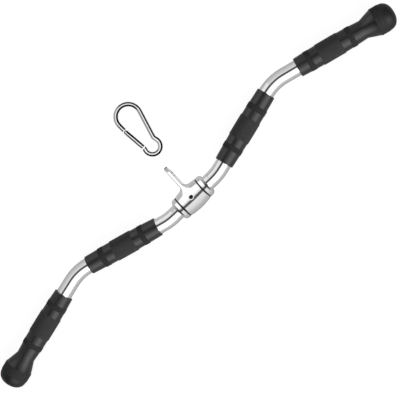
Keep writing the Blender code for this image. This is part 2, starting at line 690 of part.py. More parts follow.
def main():
    valley, peak, end, inner_grip, outer_grip = layout_of_tube()
    tilt, height = resting_pose(inner_grip, outer_grip)
    droop = math.asin((height - EYE_OUTER_RADIUS) / EYE_DISTANCE)

    layout = add_frame("layout")
    bar_frame = add_frame("bar_frame", layout, (0, 0, height), (-tilt, 0, 0))
    build_tube(bar_frame, (valley, peak, end))
    build_grips(bar_frame, inner_grip, outer_grip)
    build_collars(bar_frame)

    swivel_frame = add_frame("swivel_frame", layout, (0, 0, height), (-droop, 0, 0))
    build_swivel(swivel_frame)

    hook_y = LUG_REACH + HOOK_CLEAR_OF_LUG + WIRE_RADIUS + SMALL_BOW_RADIUS + BOWS_APART
    hook_frame = add_frame("hook_frame", layout, (HOOK_OFFSET, hook_y, WIRE_RADIUS))
    points = hook_path()
    pivot = points[0] + Vector((0, -HINGE_GAP - WIRE_RADIUS, 0))
    gate_run = points[-1] - pivot
    gate_lean = math.atan2(gate_run.x, -gate_run.y)
    gate_frame = add_frame("gate_frame", hook_frame, pivot, (0, 0, gate_lean))
    gate_length = gate_run.length - NOSE_GAP
    build_hook(hook_frame, gate_frame, gate_length)
    build_gate(gate_frame, gate_length)

    centre_on_origin(layout)
    for frame in (bar_frame, swivel_frame, hook_frame, gate_frame):
        place = frame.matrix_world.translation / MM
        print(frame.name, "at", [round(value, 3) for value in place], "mm")
    print("tilt, droop and gate lean, degrees:",
          [round(math.degrees(angle), 3) for angle in (tilt, droop, gate_lean)])


clear_scene()
PIECES = new_collection("Lat pulldown bar")
CUTTERS = new_collection("Cutters")
main()
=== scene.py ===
"""Looks of a revolving lat pulldown bar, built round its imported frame.

The chrome, rubber and screws here lie where the frame's pieces lie. Lengths are in metres, and each
piece is turned into place in its mesh, so every finished object sits at the origin.
"""

import json
import logging
import math
from dataclasses import dataclass, field
from enum import Enum
from typing import Callable, Iterable, Sequence

import bmesh
import bpy
from mathutils import Matrix, Vector

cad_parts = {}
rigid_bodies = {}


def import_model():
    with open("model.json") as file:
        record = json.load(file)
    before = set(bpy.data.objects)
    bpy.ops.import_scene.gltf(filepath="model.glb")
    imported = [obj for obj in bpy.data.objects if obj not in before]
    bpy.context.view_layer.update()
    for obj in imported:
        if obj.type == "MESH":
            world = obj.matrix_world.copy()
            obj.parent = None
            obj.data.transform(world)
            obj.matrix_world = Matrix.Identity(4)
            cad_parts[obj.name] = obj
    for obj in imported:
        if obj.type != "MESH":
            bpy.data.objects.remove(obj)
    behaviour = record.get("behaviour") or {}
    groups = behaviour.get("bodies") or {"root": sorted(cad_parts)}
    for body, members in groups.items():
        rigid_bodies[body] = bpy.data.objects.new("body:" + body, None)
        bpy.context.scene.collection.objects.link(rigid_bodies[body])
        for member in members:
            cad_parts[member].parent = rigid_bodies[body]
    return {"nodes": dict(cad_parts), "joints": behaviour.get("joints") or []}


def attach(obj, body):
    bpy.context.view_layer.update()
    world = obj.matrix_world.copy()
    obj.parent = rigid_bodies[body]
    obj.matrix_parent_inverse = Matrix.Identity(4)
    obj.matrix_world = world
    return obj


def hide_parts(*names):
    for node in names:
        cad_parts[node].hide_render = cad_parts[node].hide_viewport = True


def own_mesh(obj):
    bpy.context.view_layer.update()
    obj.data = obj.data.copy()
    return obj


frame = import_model()

LOG = logging.getLogger("lat_pulldown_bar")

BMesh = bmesh.types.BMesh
Socket = bpy.types.NodeSocket
Pair = tuple[float, float]
Triple = tuple[float, float, float]

MM = 0.001
WELD = 0.001 * MM
SEAT_GAP = 0.3 * MM
RUNNING_GAP = 0.3 * MM
TUBE_RADIUS = 14.0 * MM
BORE_RADIUS = TUBE_RADIUS + SEAT_GAP
BAR_TILT = math.radians(-10.595)
SWIVEL_DROOP = math.radians(-9.416)
# Folds, in degrees, past which an edge is rounded: on a moulding, and on a turned pin or cut wire.
ROUND_FOLD = 25.0
SHARP_FOLD = 60.0
# Most of a noise's values lie between these.
NOISE_RANGE = (0.35, 0.65)
# Turns of a shape that was made along Z.
Z_TO_X = Matrix.Rotation(math.pi / 2, 4, "Y")
Z_TO_MINUS_Y = Matrix.Rotation(math.pi / 2, 4, "X")


class Body(Enum):
    """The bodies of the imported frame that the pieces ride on."""

    BAR = "bar"
    SWIVEL = "swivel"
    HOOK = "snap_hook"
    GATE = "gate"


class Slot(Enum):
    """The record's material slots."""

    CHROME = "chrome"
    RUBBER = "grip_rubber"
    PLUG = "plug_plastic"
    BLACK_STEEL = "black_steel"
    BLACK_NYLON = "black_nylon"
    WHITE_NYLON = "white_nylon"
    SPRING = "spring_steel"


class Side(Enum):
    """The two ends of the bar, as the sign of X."""

    LEFT = -1
    RIGHT = 1

    @property
    def word(self) -> str:
        """The side's word in the frame's node names."""
        return self.name.lower()


class Relief(Enum):
    """How a band of a grip is moulded."""

    SMOOTH = "smooth"
    PADS = "raised pads"
    PYRAMIDS = "pyramid knurl"


def linear(code: str) -> tuple[float, float, float, float]:
    """Turns an sRGB hex colour into linear red, green, blue and alpha.

    Args:
        code: six hex digits after a hash.

    Returns:
        The linear colour with an alpha of 1.
    """
    shares = [int(code[i:i + 2], 16) / 255 for i in (1, 3, 5)]
    values = [s / 12.92 if s <= 0.04045 else ((s + 0.055) / 1.055) ** 2.4 for s in shares]
    return (*values, 1.0)


def add_node(
    tree: bpy.types.NodeTree,
    kind: str,
    settings: dict[str, object] | None = None,
    inputs: dict[str | int, object] | None = None,
) -> bpy.types.Node:
    """Adds a node with its settings and its inputs.

    Args:
        tree: the node tree that gets the node.
        kind: the node's type name.
        settings: properties of the node, by name.
        inputs: values, or sockets to link, by input name or number.

    Returns:
        The new node.
    """
    node = tree.nodes.new(kind)
    for name, value in (settings or {}).items():
        setattr(node, name, value)
    for name, value in (inputs or {}).items():
        if isinstance(value, bpy.types.NodeSocket):
            tree.links.new(value, node.inputs[name])
        else:
            node.inputs[name].default_value = value
    return node


def clear_tree(owner: bpy.types.Material | bpy.types.World) -> bpy.types.NodeTree:
    """Gives a material or a world an empty node tree.

    Args:
        owner: the material or world.

    Returns:
        Its tree.
    """
    owner.use_nodes = True
    owner.node_tree.nodes.clear()
    return owner.node_tree


@dataclass(frozen=True)
class Coat:
    """A material in the making: its tree, its shader and its object coordinates in metres."""

    tree: bpy.types.NodeTree
    shader: bpy.types.Node
    place: Socket


@dataclass(frozen=True)
class Finish:
    """A surface finish of one of the record's slots, made once as a material and then shared.

    The relief is the height of its bumps, of which the strength lets a share show.
    """

    name: str
    slot: Slot
    colour: str
    roughness: Pair
    relief: float = 0.01 * MM
    strength: float = 0.5

    def material(self) -> bpy.types.Material:
        """The finish's material, built on its first use."""
        return bpy.data.materials.get(self.name) or self.build()

    def build(self) -> bpy.types.Material:
        """Makes the material: a principled shader that dress() completes, and its relief.

        Returns:
            The new material.
        """
        material = bpy.data.materials.new(self.name)
        tree = clear_tree(material)
        place = add_node(tree, "ShaderNodeTexCoord").outputs["Object"]
        colour = linear(self.colour)
        shader = add_node(tree, "ShaderNodeBsdfPrincipled", None, {"Base Color": colour})
        bump = add_node(tree, "ShaderNodeBump", None, {
            "Height": self.dress(Coat(tree, shader, place)),
            "Strength": self.strength, "Distance": self.relief,
        })
        tree.links.new(bump.outputs["Normal"], shader.inputs["Normal"])
        add_node(tree, "ShaderNodeOutputMaterial", None, {"Surface": shader.outputs["BSDF"]})
        return material

    def dress(self, coat: Coat) -> Socket:
        """Adds the finish's own nodes.

        Args:
            coat: the material in the making.

        Returns:
            The height of its relief.
        """
        raise NotImplementedError

    def vary_roughness(self, coat: Coat, patch: float) -> Socket:
        """Lets the roughness wander between its two values.

        Args:
            coat: the material in the making.
            patch: size of the patches, in metres.

        Returns:
            The noise behind it, for other uses.
        """
        noise = add_node(coat.tree, "ShaderNodeTexNoise", None, {
            "Vector": coat.place, "Scale": 1 / patch, "Detail": 4.0,
        }).outputs["Fac"]
        spread = add_node(coat.tree, "ShaderNodeMapRange", None, {
            "Value": noise, "From Min": NOISE_RANGE[0], "From Max": NOISE_RANGE[1],
            "To Min": self.roughness[0], "To Max": self.roughness[1],
        })
        coat.tree.links.new(spread.outputs["Result"], coat.shader.inputs["Roughness"])
        return noise


@dataclass(frozen=True)
class ChromePlate(Finish):
    """Chrome plate over polished steel: a mirror whose grazing edges go grey."""

    relief: float = 0.004 * MM
    strength: float = 1.0
    edge: str = "#C9CACC"
    haze: float = 9.0 * MM
    waviness: float = 16.0 * MM

    def dress(self, coat: Coat) -> Socket:
        """Adds the polish's faint haze and the plate's long, shallow waves.

        Args:
            coat: the material in the making.

        Returns:
            The height of the waves.
        """
        coat.shader.inputs["Metallic"].default_value = 1.0
        coat.shader.inputs["Specular Tint"].default_value = linear(self.edge)
        self.vary_roughness(coat, self.haze)
        return add_node(coat.tree, "ShaderNodeTexNoise", None, {
            "Vector": coat.place, "Scale": 1 / self.waviness, "Detail": 1.0,
        }).outputs["Fac"]


@dataclass(frozen=True)
class MouldedRubber(Finish):
    """Moulded rubber: near black, with the mould's fine grain and a breath of dust."""

    relief: float = 0.05 * MM
    strength: float = 0.6
    dust: str = "#1C1C1D"
    dust_range: Pair = (0.45, 0.75)
    dust_most: float = 0.6
    dust_patch: float = 22.0 * MM
    ior: float = 1.5
    grain: float = 0.9 * MM

    def dress(self, coat: Coat) -> Socket:
        """Adds the dust's colour change and the mould's grain.

        The grain of such a mould is about 0.3 mm, and it is drawn three times as coarse so that
        it shows.

        Args:
            coat: the material in the making.

        Returns:
            The height of the grain.
        """
        coat.shader.inputs["IOR"].default_value = self.ior
        tone = add_node(coat.tree, "ShaderNodeMapRange", None, {
            "Value": self.vary_roughness(coat, self.dust_patch),
            "From Min": self.dust_range[0], "From Max": self.dust_range[1],
            "To Min": 0.0, "To Max": self.dust_most,
        })
        mix = add_node(coat.tree, "ShaderNodeMix", {"data_type": "RGBA"}, {
            "Factor": tone.outputs["Result"], 6: linear(self.colour), 7: linear(self.dust),
        })
        coat.tree.links.new(mix.outputs[2], coat.shader.inputs["Base Color"])
        return add_node(coat.tree, "ShaderNodeTexNoise", None, {
            "Vector": coat.place, "Scale": 1 / self.grain, "Detail": 2.0,
        }).outputs["Fac"]


@dataclass(frozen=True)
class MouldedPlastic(Finish):
    """Moulded nylon or polypropylene: a waxy, slightly uneven surface."""

    relief: float = 0.02 * MM
    strength: float = 0.4
    ior: float = 1.53
    texture: float = 1.2 * MM

    def dress(self, coat: Coat) -> Socket:
        """Adds the moulded surface's fine unevenness.

        Args:
            coat: the material in the making.

        Returns:
            The height of the unevenness.
        """
        coat.shader.inputs["IOR"].default_value = self.ior
        return self.vary_roughness(coat, self.texture)


@dataclass(frozen=True)
class DrawnSteel(Finish):
    """Bare or blackened steel with the fine lines that its die or its tumbling leaves."""

    line: float = 0.5 * MM

    def dress(self, coat: Coat) -> Socket:
        """Adds the die's fine marks.

        Args:
            coat: the material in the making.

        Returns:
            The height of the marks.
        """
        coat.shader.inputs["Metallic"].default_value = 1.0
        return self.vary_roughness(coat, self.line)


# The plate mirrors the room sharply, with a slow waver in long reflections.
CHROME = ChromePlate("Polished chrome plate", Slot.CHROME, "#EDEDEE", (0.03, 0.07))
# Smooth bands keep a satin gleam, knurls scatter it and pads take none. The domes' rubber is
# rougher, and its darker colour is painted shade on the domes.
SMOOTH_RUBBER = MouldedRubber(
    "Moulded black rubber, smooth", Slot.RUBBER, "#0F0F10", (0.33, 0.41), dust="#18181A"
)
KNURLED_RUBBER = MouldedRubber("Moulded black rubber, knurled", Slot.RUBBER, "#101011", (0.5, 0.6))
MATT_RUBBER = MouldedRubber(
    "Moulded black rubber, matt", Slot.RUBBER, "#1C1C1D", (0.7, 0.8), dust="#232324", ior=1.4
)
# The domes' rubber: rougher, with a darker colour that paints the domes' shade.
DOME_SHADE_RUBBER = MouldedRubber(
    "Moulded black rubber, dulled by handling", Slot.RUBBER, "#0C0C0D", (0.45, 0.55),
    dust="#141415", ior=1.4,
)
RUBBERS = (SMOOTH_RUBBER, KNURLED_RUBBER, MATT_RUBBER, DOME_SHADE_RUBBER)
# Nylon is waxy, and polypropylene a little flatter.
BLACK_NYLON = MouldedPlastic("Black nylon", Slot.BLACK_NYLON, "#1A1A1B", (0.4, 0.55))
WHITE_NYLON = MouldedPlastic("Natural white nylon", Slot.WHITE_NYLON, "#DEDCD2", (0.35, 0.45))
GREY_PLASTIC = MouldedPlastic("Grey polypropylene", Slot.PLUG, "#6F7072", (0.4, 0.55), ior=1.49)
# Oxide leaves the screws' steel dark and oily, and drawn wire glints along its lines.
BLACK_OXIDE = DrawnSteel("Black oxide steel", Slot.BLACK_STEEL, "#2B2B2D", (0.32, 0.5))
SPRING_STEEL = DrawnSteel("Drawn spring steel", Slot.SPRING, "#B4B5B8", (0.2, 0.35))


def heading(angle: float) -> Vector:
    """The unit vector in the XY plane at an angle from +X."""
    return Vector((math.cos(angle), math.sin(angle), 0.0))


def quarter(steps: int) -> list[Pair]:
    """The cosine and sine at each step of a quarter turn."""
    angles = [math.pi / 2 * i / steps for i in range(steps + 1)]
    return [(math.cos(angle), math.sin(angle)) for angle in angles]


def turn(points: Sequence[Pair], sides: int) -> BMesh:
    """Spins a line of (distance, radius) points a full turn about X.

    Args:
        points: a line with both ends on the axis, or a loop that is closed from its last point.
        sides: number of flats round the turning.

    Returns:
        The welded mesh, with its faces pointing outwards.
    """
    mesh = bmesh.new()
    line = [mesh.verts.new((distance, 0.0, radius)) for distance, radius in points]
    runs = [mesh.edges.new(pair) for pair in zip(line, line[1:])]
    if points[0][1] > 0:
        runs.append(mesh.edges.new((line[-1], line[0])))
    bmesh.ops.spin(
        mesh, geom=line + runs, axis=(1, 0, 0), cent=(0, 0, 0), angle=math.tau, steps=sides,
        use_merge=True,
    )
    bmesh.ops.remove_doubles(mesh, verts=mesh.verts, dist=WELD)
    bmesh.ops.recalc_face_normals(mesh, faces=mesh.faces)
    return mesh


def soften(mesh: BMesh, radius: float, least: float = ROUND_FOLD, segments: int = 2) -> None:
    """Rounds the edges that fold more than an angle.

    Args:
        mesh: the mesh to change.
        radius: width of the rounding.
        least: the smallest fold, in degrees, that is rounded.
        segments: number of flats across the rounding.
    """
    folded = [
        edge for edge in mesh.edges
        if len(edge.link_faces) == 2 and edge.calc_face_angle() > math.radians(least)
    ]
    bmesh.ops.bevel(
        mesh, geom=folded, offset=radius, offset_type="OFFSET", affect="EDGES", segments=segments,
        profile=0.5, material=-1, clamp_overlap=True,
    )


def bolt(radius: float, low: float, high: float, sides: int = 32) -> BMesh:
    """Makes a plain cylinder along Z.

    Args:
        radius: the cylinder's radius.
        low: height of its lower end.
        high: height of its upper end.
        sides: number of flats.

    Returns:
        The cylinder.
    """
    mesh = bmesh.new()
    bmesh.ops.create_cone(
        mesh, cap_ends=True, segments=sides, radius1=radius, radius2=radius, depth=high - low,
        matrix=Matrix.Translation((0, 0, (low + high) / 2)),
    )
    return mesh


def slab(size: Sequence[float], centre: Sequence[float]) -> BMesh:
    """Makes a box, for cutting slots and flat tongues.

    Args:
        size: its lengths along X, Y and Z.
        centre: its middle.

    Returns:
        The box.
    """
    mesh = bmesh.new()
    place = Matrix.Translation(centre) @ Matrix.Diagonal((*size, 1.0))
    bmesh.ops.create_cube(mesh, size=1.0, matrix=place)
    return mesh


def hull_of_circles(circles: Sequence[Triple], low: float, high: float, sides: int = 144) -> BMesh:
    """Makes an upright solid round some circles, as a belt lies round pulleys.

    Args:
        circles: the X, Y and radius of each circle.
        low: height of the lower end.
        high: height of the upper end.
        sides: number of corners of each circle.

    Returns:
        The solid.
    """
    mesh = bmesh.new()
    for height in (low, high):
        for x, y, radius in circles:
            bmesh.ops.create_circle(
                mesh, cap_ends=False, radius=radius, segments=sides,
                matrix=Matrix.Translation((x, y, height)),
            )
    hull = bmesh.ops.convex_hull(mesh, input=mesh.verts)
    spare = {*hull["geom_interior"], *hull["geom_unused"]}
    inside = [item for item in spare if isinstance(item, bmesh.types.BMVert)]
    bmesh.ops.delete(mesh, geom=inside, context="VERTS")
    bmesh.ops.recalc_face_normals(mesh, faces=mesh.faces)
    return mesh


def placed(mesh: BMesh, place: Matrix) -> BMesh:
    """Moves a mesh and returns it."""
    bmesh.ops.transform(mesh, matrix=place, verts=mesh.verts)
    return mesh


def new_object(name: str, data: bpy.types.ID) -> bpy.types.Object:
    """Makes an object and links it to the scene.

    Args:
        name: the object's name.
        data: its mesh, lamp or camera.

    Returns:
        The object.
    """
    made = bpy.data.objects.new(name, data)
    bpy.context.scene.collection.objects.link(made)
    return made


def mesh_object(name: str, mesh: BMesh) -> bpy.types.Object:
    """Makes an object of a mesh.

    Args:
        name: the object's name.
        mesh: its shape, which is used up.

    Returns:
        The object.
    """
    data = bpy.data.meshes.new(name)
    mesh.to_mesh(data)
    mesh.free()
    return new_object(name, data)


def carve(mesh: BMesh, steps: Iterable[tuple[str, BMesh]], grain: float = 0.0) -> BMesh:
    """Joins, cuts and intersects solids in turn.

    Args:
        mesh: the first solid, which is used up.
        steps: pairs of an operation's name and its other solid, which is used up.
        grain: where above 0, the result is meshed anew in cells of this size.

    Returns:
        The resulting solid.
    """
    base = mesh_object("passing", mesh)
    passing = [base]
    for operation, other in steps:
        passing.append(mesh_object("passing", other))
        cut = base.modifiers.new(operation, "BOOLEAN")
        cut.operation = operation
        cut.solver = "EXACT"
        cut.object = passing[-1]
    if grain > 0:
        cells = base.modifiers.new("cells", "REMESH")
        cells.mode = "VOXEL"
        cells.voxel_size = grain
    bpy.context.view_layer.update()
    result = bmesh.new()
    result.from_object(base, bpy.context.evaluated_depsgraph_get())
    for made in passing:
        data = made.data
        bpy.data.objects.remove(made)
        bpy.data.meshes.remove(data)
    return result


def cut_out(mesh: BMesh, *others: BMesh) -> BMesh:
    """Cuts other solids, which are used up, out of a solid."""
    return carve(mesh, [("DIFFERENCE", other) for other in others])


def finish_piece(
    name: str, node: str, body: Body, mesh: BMesh, place: Matrix, *finishes: Finish,
    crease: float = 32.0,
) -> bpy.types.Object:
    """Makes a mesh a finished piece of the scene, in place and dressed.

    Args:
        name: the piece's name.
        node: the frame's node that it stands for.
        body: the body that it rides on.
        mesh: its shape in its own frame, which is used up.
        place: its own frame in the row frame.
        *finishes: its finishes of one slot, in the order of the faces' material numbers.
        crease: the fold, in degrees, past which an edge is shaded sharp.

    Returns:
        The piece.
    """
    piece = mesh_object(name, placed(mesh, place))
    piece.data.shade_smooth()
    piece.data.set_sharp_from_angle(angle=math.radians(crease))
    for finish in finishes:
        piece.data.materials.append(finish.material())
    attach(piece, body.value)
    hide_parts(node)
    LOG.info("%s: %d faces, for %s", name, len(piece.data.polygons), node)
    return piece


class RodBender:
    """Draws a round rod in its own XY plane, one straight or bend after another."""

    def __init__(self, radius: float, sides: int, start: Vector, angle: float) -> None:
        """Sets the rod's first ring.

        Args:
            radius: the rod's radius.
            sides: number of flats round it.
            start: where it starts.
            angle: its first direction, from +X.
        """
        self.mesh = bmesh.new()
        self.position = start.copy()
        self.angle = angle
        bmesh.ops.create_circle(
            self.mesh, cap_ends=False, radius=radius, segments=sides,
            matrix=Matrix.Translation(start) @ Matrix.Rotation(angle, 4, "Z") @ Z_TO_X,
        )
        self.front = list(self.mesh.edges)

    def straight(self, length: float, scale: float = 1.0) -> "RodBender":
        """Runs the rod straight on.

        Args:
            length: how far.
            scale: how much the new ring is wider than the last.

        Returns:
            The bender itself.
        """
        grown = bmesh.ops.extrude_edge_only(self.mesh, edges=self.front)["geom"]
        self.front = [
            item for item in grown
            if isinstance(item, bmesh.types.BMEdge) and all(vert in grown for vert in item.verts)
        ]
        run = heading(self.angle) * length
        self.position += run
        verts = list({vert for edge in self.front for vert in edge.verts})
        bmesh.ops.translate(self.mesh, verts=verts, vec=run)
        if scale != 1.0:
            centred = Matrix.Translation(-self.position)
            bmesh.ops.scale(self.mesh, verts=verts, vec=(scale,) * 3, space=centred)
        return self

    def bend(self, radius: float, angle: float, step: float) -> "RodBender":
        """Bends the rod to one side.

        Args:
            radius: radius of the bend's centre line.
            angle: how far it turns, counter-clockwise above 0.
            step: the largest turn between two rings.

        Returns:
            The bender itself.
        """
        ahead = heading(self.angle)
        centre = self.position + Vector((-ahead.y, ahead.x, 0.0)) * math.copysign(radius, angle)
        steps = max(1, math.ceil(abs(angle) / step))
        spun = bmesh.ops.spin(
            self.mesh, geom=self.front, axis=(0, 0, 1), cent=centre, angle=angle, steps=steps
        )["geom_last"]
        self.front = [item for item in spun if isinstance(item, bmesh.types.BMEdge)]
        self.position = centre + Matrix.Rotation(angle, 3, "Z") @ (self.position - centre)
        self.angle += angle
        return self

    def closed(self) -> BMesh:
        """Caps both ends and returns the rod as a solid.

        Returns:
            The solid rod.
        """
        ends = [edge for edge in self.mesh.edges if edge.is_boundary]
        bmesh.ops.holes_fill(self.mesh, edges=ends, sides=0)
        bmesh.ops.recalc_face_normals(self.mesh, faces=self.mesh.faces)
        return self.mesh


def joint_place(name: str) -> Vector:
    """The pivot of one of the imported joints."""
    return Vector(next(joint["pos_m"] for joint in frame["joints"] if joint["name"] == name))


@dataclass
class BentTube:
    """The bent, chromed steel tube in the bar's own plane."""

    wall: float = 3.0 * MM
    sides: int = 72
    bend_radius: float = 84.0 * MM
    bend_step: float = math.radians(1.6)
    rise: float = math.radians(14.7)
    fall: float = math.radians(14.15)
    straight_half: float = 46.9 * MM
    before_inner_grip: float = 11.5 * MM
    inner_grip: float = 139.0 * MM
    after_inner_grip: float = 0.9 * MM
    before_outer_grip: float = 26.8 * MM
    in_outer_grip: float = 170.1 * MM
    die_mark_at: float = 43.0 * MM
    die_mark_half: float = 0.35 * MM
    die_mark_share: float = 0.988

    def grip_starts(self) -> tuple[Vector, Vector]:
        """Where the right inner and outer grips start.

        Returns:
            The two points on the tube's centre line.
        """
        middle = self.bend_radius * math.tan(self.rise / 2)
        peak = self.bend_radius * math.tan((self.rise + self.fall) / 2)
        up = heading(self.rise)
        inner = Vector((self.straight_half + middle, 0.0, 0.0))
        inner += up * (middle + self.before_inner_grip)
        top = inner + up * (self.inner_grip + self.after_inner_grip + peak)
        return inner, top + heading(-self.fall) * (peak + self.before_outer_grip)

    def build(self, place: Matrix) -> None:
        """Bends the right half, mirrors it and gives it its wall.

        Args:
            place: the bar's frame in the row frame.
        """
        rod = RodBender(TUBE_RADIUS, self.sides, Vector((0, 0, 0)), 0.0)
        half = self.die_mark_half
        rod.straight(self.die_mark_at - half)
        rod.straight(half, self.die_mark_share).straight(half, 1 / self.die_mark_share)
        rod.straight(self.straight_half - self.die_mark_at - half)
        rod.bend(self.bend_radius, self.rise, self.bend_step)
        rod.straight(self.before_inner_grip + self.inner_grip + self.after_inner_grip)
        rod.bend(self.bend_radius, -self.rise - self.fall, self.bend_step)
        rod.straight(self.before_outer_grip + self.in_outer_grip)
        mesh = rod.mesh
        right_half = mesh.verts[:] + mesh.edges[:] + mesh.faces[:]
        bmesh.ops.mirror(mesh, geom=right_half, axis="X", merge_dist=WELD)
        bmesh.ops.remove_doubles(mesh, verts=mesh.verts, dist=WELD)
        bmesh.ops.recalc_face_normals(mesh, faces=mesh.faces)
        far = max(mesh.faces, key=lambda face: face.calc_center_median().z)
        if far.normal.z < 0:
            bmesh.ops.reverse_faces(mesh, faces=mesh.faces)
        tube = finish_piece("chromed_tube", "bar_tube", Body.BAR, mesh, place, CHROME)
        shell = tube.modifiers.new("Wall", "SOLIDIFY")
        shell.thickness = self.wall
        shell.offset = -1
        shell.use_even_offset = True


@dataclass(frozen=True)
class Band:
    """One band of a grip: its length, the rubber's thickness at its two ends, and its moulding."""

    length: float
    first: float
    last: float
    relief: Relief = Relief.SMOOTH


@dataclass
class Grip:
    """A rubber sleeve moulded in bands, open at both ends."""

    bands: tuple[Band, ...]
    sides: int = 64
    row: float = 1.9 * MM
    edge: float = 0.35 * MM
    pad_margin: float = 0.35 * MM
    pad_height: float = 0.3 * MM
    pyramid_height: float = 0.45 * MM
    least_rubber: float = 1.2 * MM
    least_face: float = 1.2 * MM * MM
    steepest: float = 0.3

    @property
    def length(self) -> float:
        """Length of the banded sleeve."""
        return sum(band.length for band in self.bands)

    def outer_line(self) -> list[Pair]:
        """The outer (distance, radius) points, from the grip's start.

        Returns:
            The points: rows across a pyramid band, and else a pair near each end, which keeps
            the band flat.
        """
        points = []
        distance = 0.0
        for band in self.bands:
            rows = round(band.length / self.row)
            shares = [i / rows for i in range(rows + 1)]
            if band.relief is not Relief.PYRAMIDS:
                margin = 2 * self.edge / band.length
                shares = [0.0, margin, 1.0 - margin, 1.0]
            for share in shares:
                thickness = band.first + (band.last - band.first) * share
                points.append((distance + band.length * share, BORE_RADIUS + thickness))
            distance += band.length
        return points

    def line(self) -> list[Pair]:
        """The whole loop of points, outside and bore.

        Returns:
            The points.
        """
        outer = self.outer_line()
        return outer + [(outer[-1][0], BORE_RADIUS), (0.0, BORE_RADIUS)]

    def reliefs(self) -> list[tuple[float, float, Relief, MouldedRubber]]:
        """Where the moulded bands start and end.

        Returns:
            The start, end, moulding and finish of each band that isn't smooth.
        """
        spans = []
        distance = 0.0
        for band in self.bands:
            if band.relief is not Relief.SMOOTH:
                finish = KNURLED_RUBBER if band.relief is Relief.PYRAMIDS else MATT_RUBBER
                spans.append((distance, distance + band.length, band.relief, finish))
            distance += band.length
        return spans

    def dull_start(self) -> float:
        """Where a knob's dome starts, whose rubber is painted darker as shade; a plain grip doesn't
        have one.
        """
        return math.inf

    def build(self, node: str, place: Matrix) -> None:
        """Turns the sleeve, rounds its steps and raises its moulded bands.

        Args:
            node: the frame's node that it stands for.
            place: the grip's frame in the row frame.
        """
        mesh = turn(self.line(), self.sides)
        soften(mesh, self.edge)
        least = BORE_RADIUS + self.least_rubber
        # Faces past the knob's band get the rubber that is painted darker as the domes' shade.
        for face in mesh.faces:
            if face.calc_center_median().x > self.dull_start():
                face.material_index = RUBBERS.index(DOME_SHADE_RUBBER)
        for start, end, relief, finish in self.reliefs():
            faces = []
            for face in mesh.faces:
                centre = face.calc_center_median()
                outside = math.hypot(centre.y, centre.z) > least
                level = abs(face.normal.x) < self.steepest
                if outside and level and start < centre.x < end:
                    face.material_index = RUBBERS.index(finish)
                    if face.calc_area() > self.least_face:
                        faces.append(face)
            if relief is Relief.PADS:
                bmesh.ops.inset_individual(
                    mesh, faces=faces, thickness=self.pad_margin, depth=self.pad_height,
                    use_even_offset=True,
                )
            else:
                bmesh.ops.poke(mesh, faces=faces, offset=self.pyramid_height, center_mode="MEAN")
        finish_piece(f"rubber_{node}", node, Body.BAR, mesh, place, *RUBBERS)


@dataclass
class KnobGrip(Grip):
    """An outer grip, whose neck opens into a round knob over the tube's end."""

    cone: float = 23.0 * MM
    band: float = 16.0 * MM
    band_rubber: float = 10.6 * MM
    band_step: float = 0.4 * MM
    dome: float = 19.7 * MM
    dome_fullness: float = 2.3
    dome_points: int = 22
    end_rubber: float = 14.0 * MM

    def line(self) -> list[Pair]:
        """The whole line of points, from the tip round the outside to the bore's end.

        Returns:
            The points, with both ends on the axis.
        """
        cone_end = self.length + self.cone
        band_end = cone_end + self.band
        tip = band_end + self.dome
        radius = BORE_RADIUS + self.band_rubber
        knob = [(cone_end, radius - self.band_step)]
        rows = round(self.band / self.row)
        knob += [(cone_end + self.band * i / rows, radius) for i in range(rows + 1)]
        for i in range(self.dome_points):
            share = math.sin(math.pi / 2 * i / self.dome_points)
            width = (1 - share**self.dome_fullness) ** (1 / self.dome_fullness)
            knob.append((band_end + self.dome * share, (radius - self.band_step) * width))
        knob.append((tip, 0.0))
        depth = tip - self.end_rubber
        return [(depth, 0.0), (depth, BORE_RADIUS), (0.0, BORE_RADIUS)] + self.outer_line() + knob

    def reliefs(self) -> list[tuple[float, float, Relief, MouldedRubber]]:
        """Where the moulded bands start and end, the knob's own band among them.

        Returns:
            The start, end, moulding and finish of each band that isn't smooth.
        """
        start = self.length + self.cone
        return super().reliefs() + [(start, start + self.band, Relief.PYRAMIDS, MATT_RUBBER)]

    def dull_start(self) -> float:
        """Where the dome starts, whose rubber is rougher and painted darker, as shade."""
        return self.length + self.cone + self.band + self.edge


INNER_GRIP = Grip(bands=(
    Band(24.5 * MM, 2.35 * MM, 3.15 * MM),
    Band(9.5 * MM, 3.6 * MM, 3.6 * MM, Relief.PADS),
    Band(14.0 * MM, 3.3 * MM, 3.6 * MM),
    Band(40.0 * MM, 4.35 * MM, 4.35 * MM, Relief.PYRAMIDS),
    Band(14.5 * MM, 3.6 * MM, 3.5 * MM),
    Band(10.5 * MM, 3.6 * MM, 3.6 * MM, Relief.PADS),
    Band(26.0 * MM, 2.9 * MM, 2.3 * MM),
))
OUTER_GRIP = KnobGrip(bands=(
    Band(19.0 * MM, 2.8 * MM, 3.7 * MM),
    Band(10.0 * MM, 4.0 * MM, 4.0 * MM, Relief.PADS),
    Band(13.5 * MM, 3.9 * MM, 4.2 * MM),
    Band(41.5 * MM, 4.85 * MM, 4.85 * MM, Relief.PYRAMIDS),
    Band(14.5 * MM, 4.2 * MM, 4.0 * MM),
    Band(9.5 * MM, 4.1 * MM, 4.1 * MM, Relief.PADS),
    Band(20.0 * MM, 3.5 * MM, 2.3 * MM),
))


@dataclass
class SetScrew:
    """A blackened socket set screw, with its top at its own origin and its point down."""

    radius: float
    length: float
    key: float
    chamfer: float = 0.35 * MM

    def build(self, name: str, node: str, body: Body, place: Matrix) -> None:
        """Turns the screw and cuts its hexagon socket.

        Args:
            name: the piece's name.
            node: the frame's node that it stands for.
            body: the body that it rides on.
            place: the screw's frame in the row frame.
        """
        shank = bolt(self.radius, -self.length, 0.0)
        soften(shank, self.chamfer, least=SHARP_FOLD)
        corner = self.key / 2 / math.cos(math.pi / 6)
        socket = bolt(corner, -self.length / 2, self.length / 2, sides=6)
        finish_piece(name, node, body, cut_out(shank, socket), place, BLACK_OXIDE)


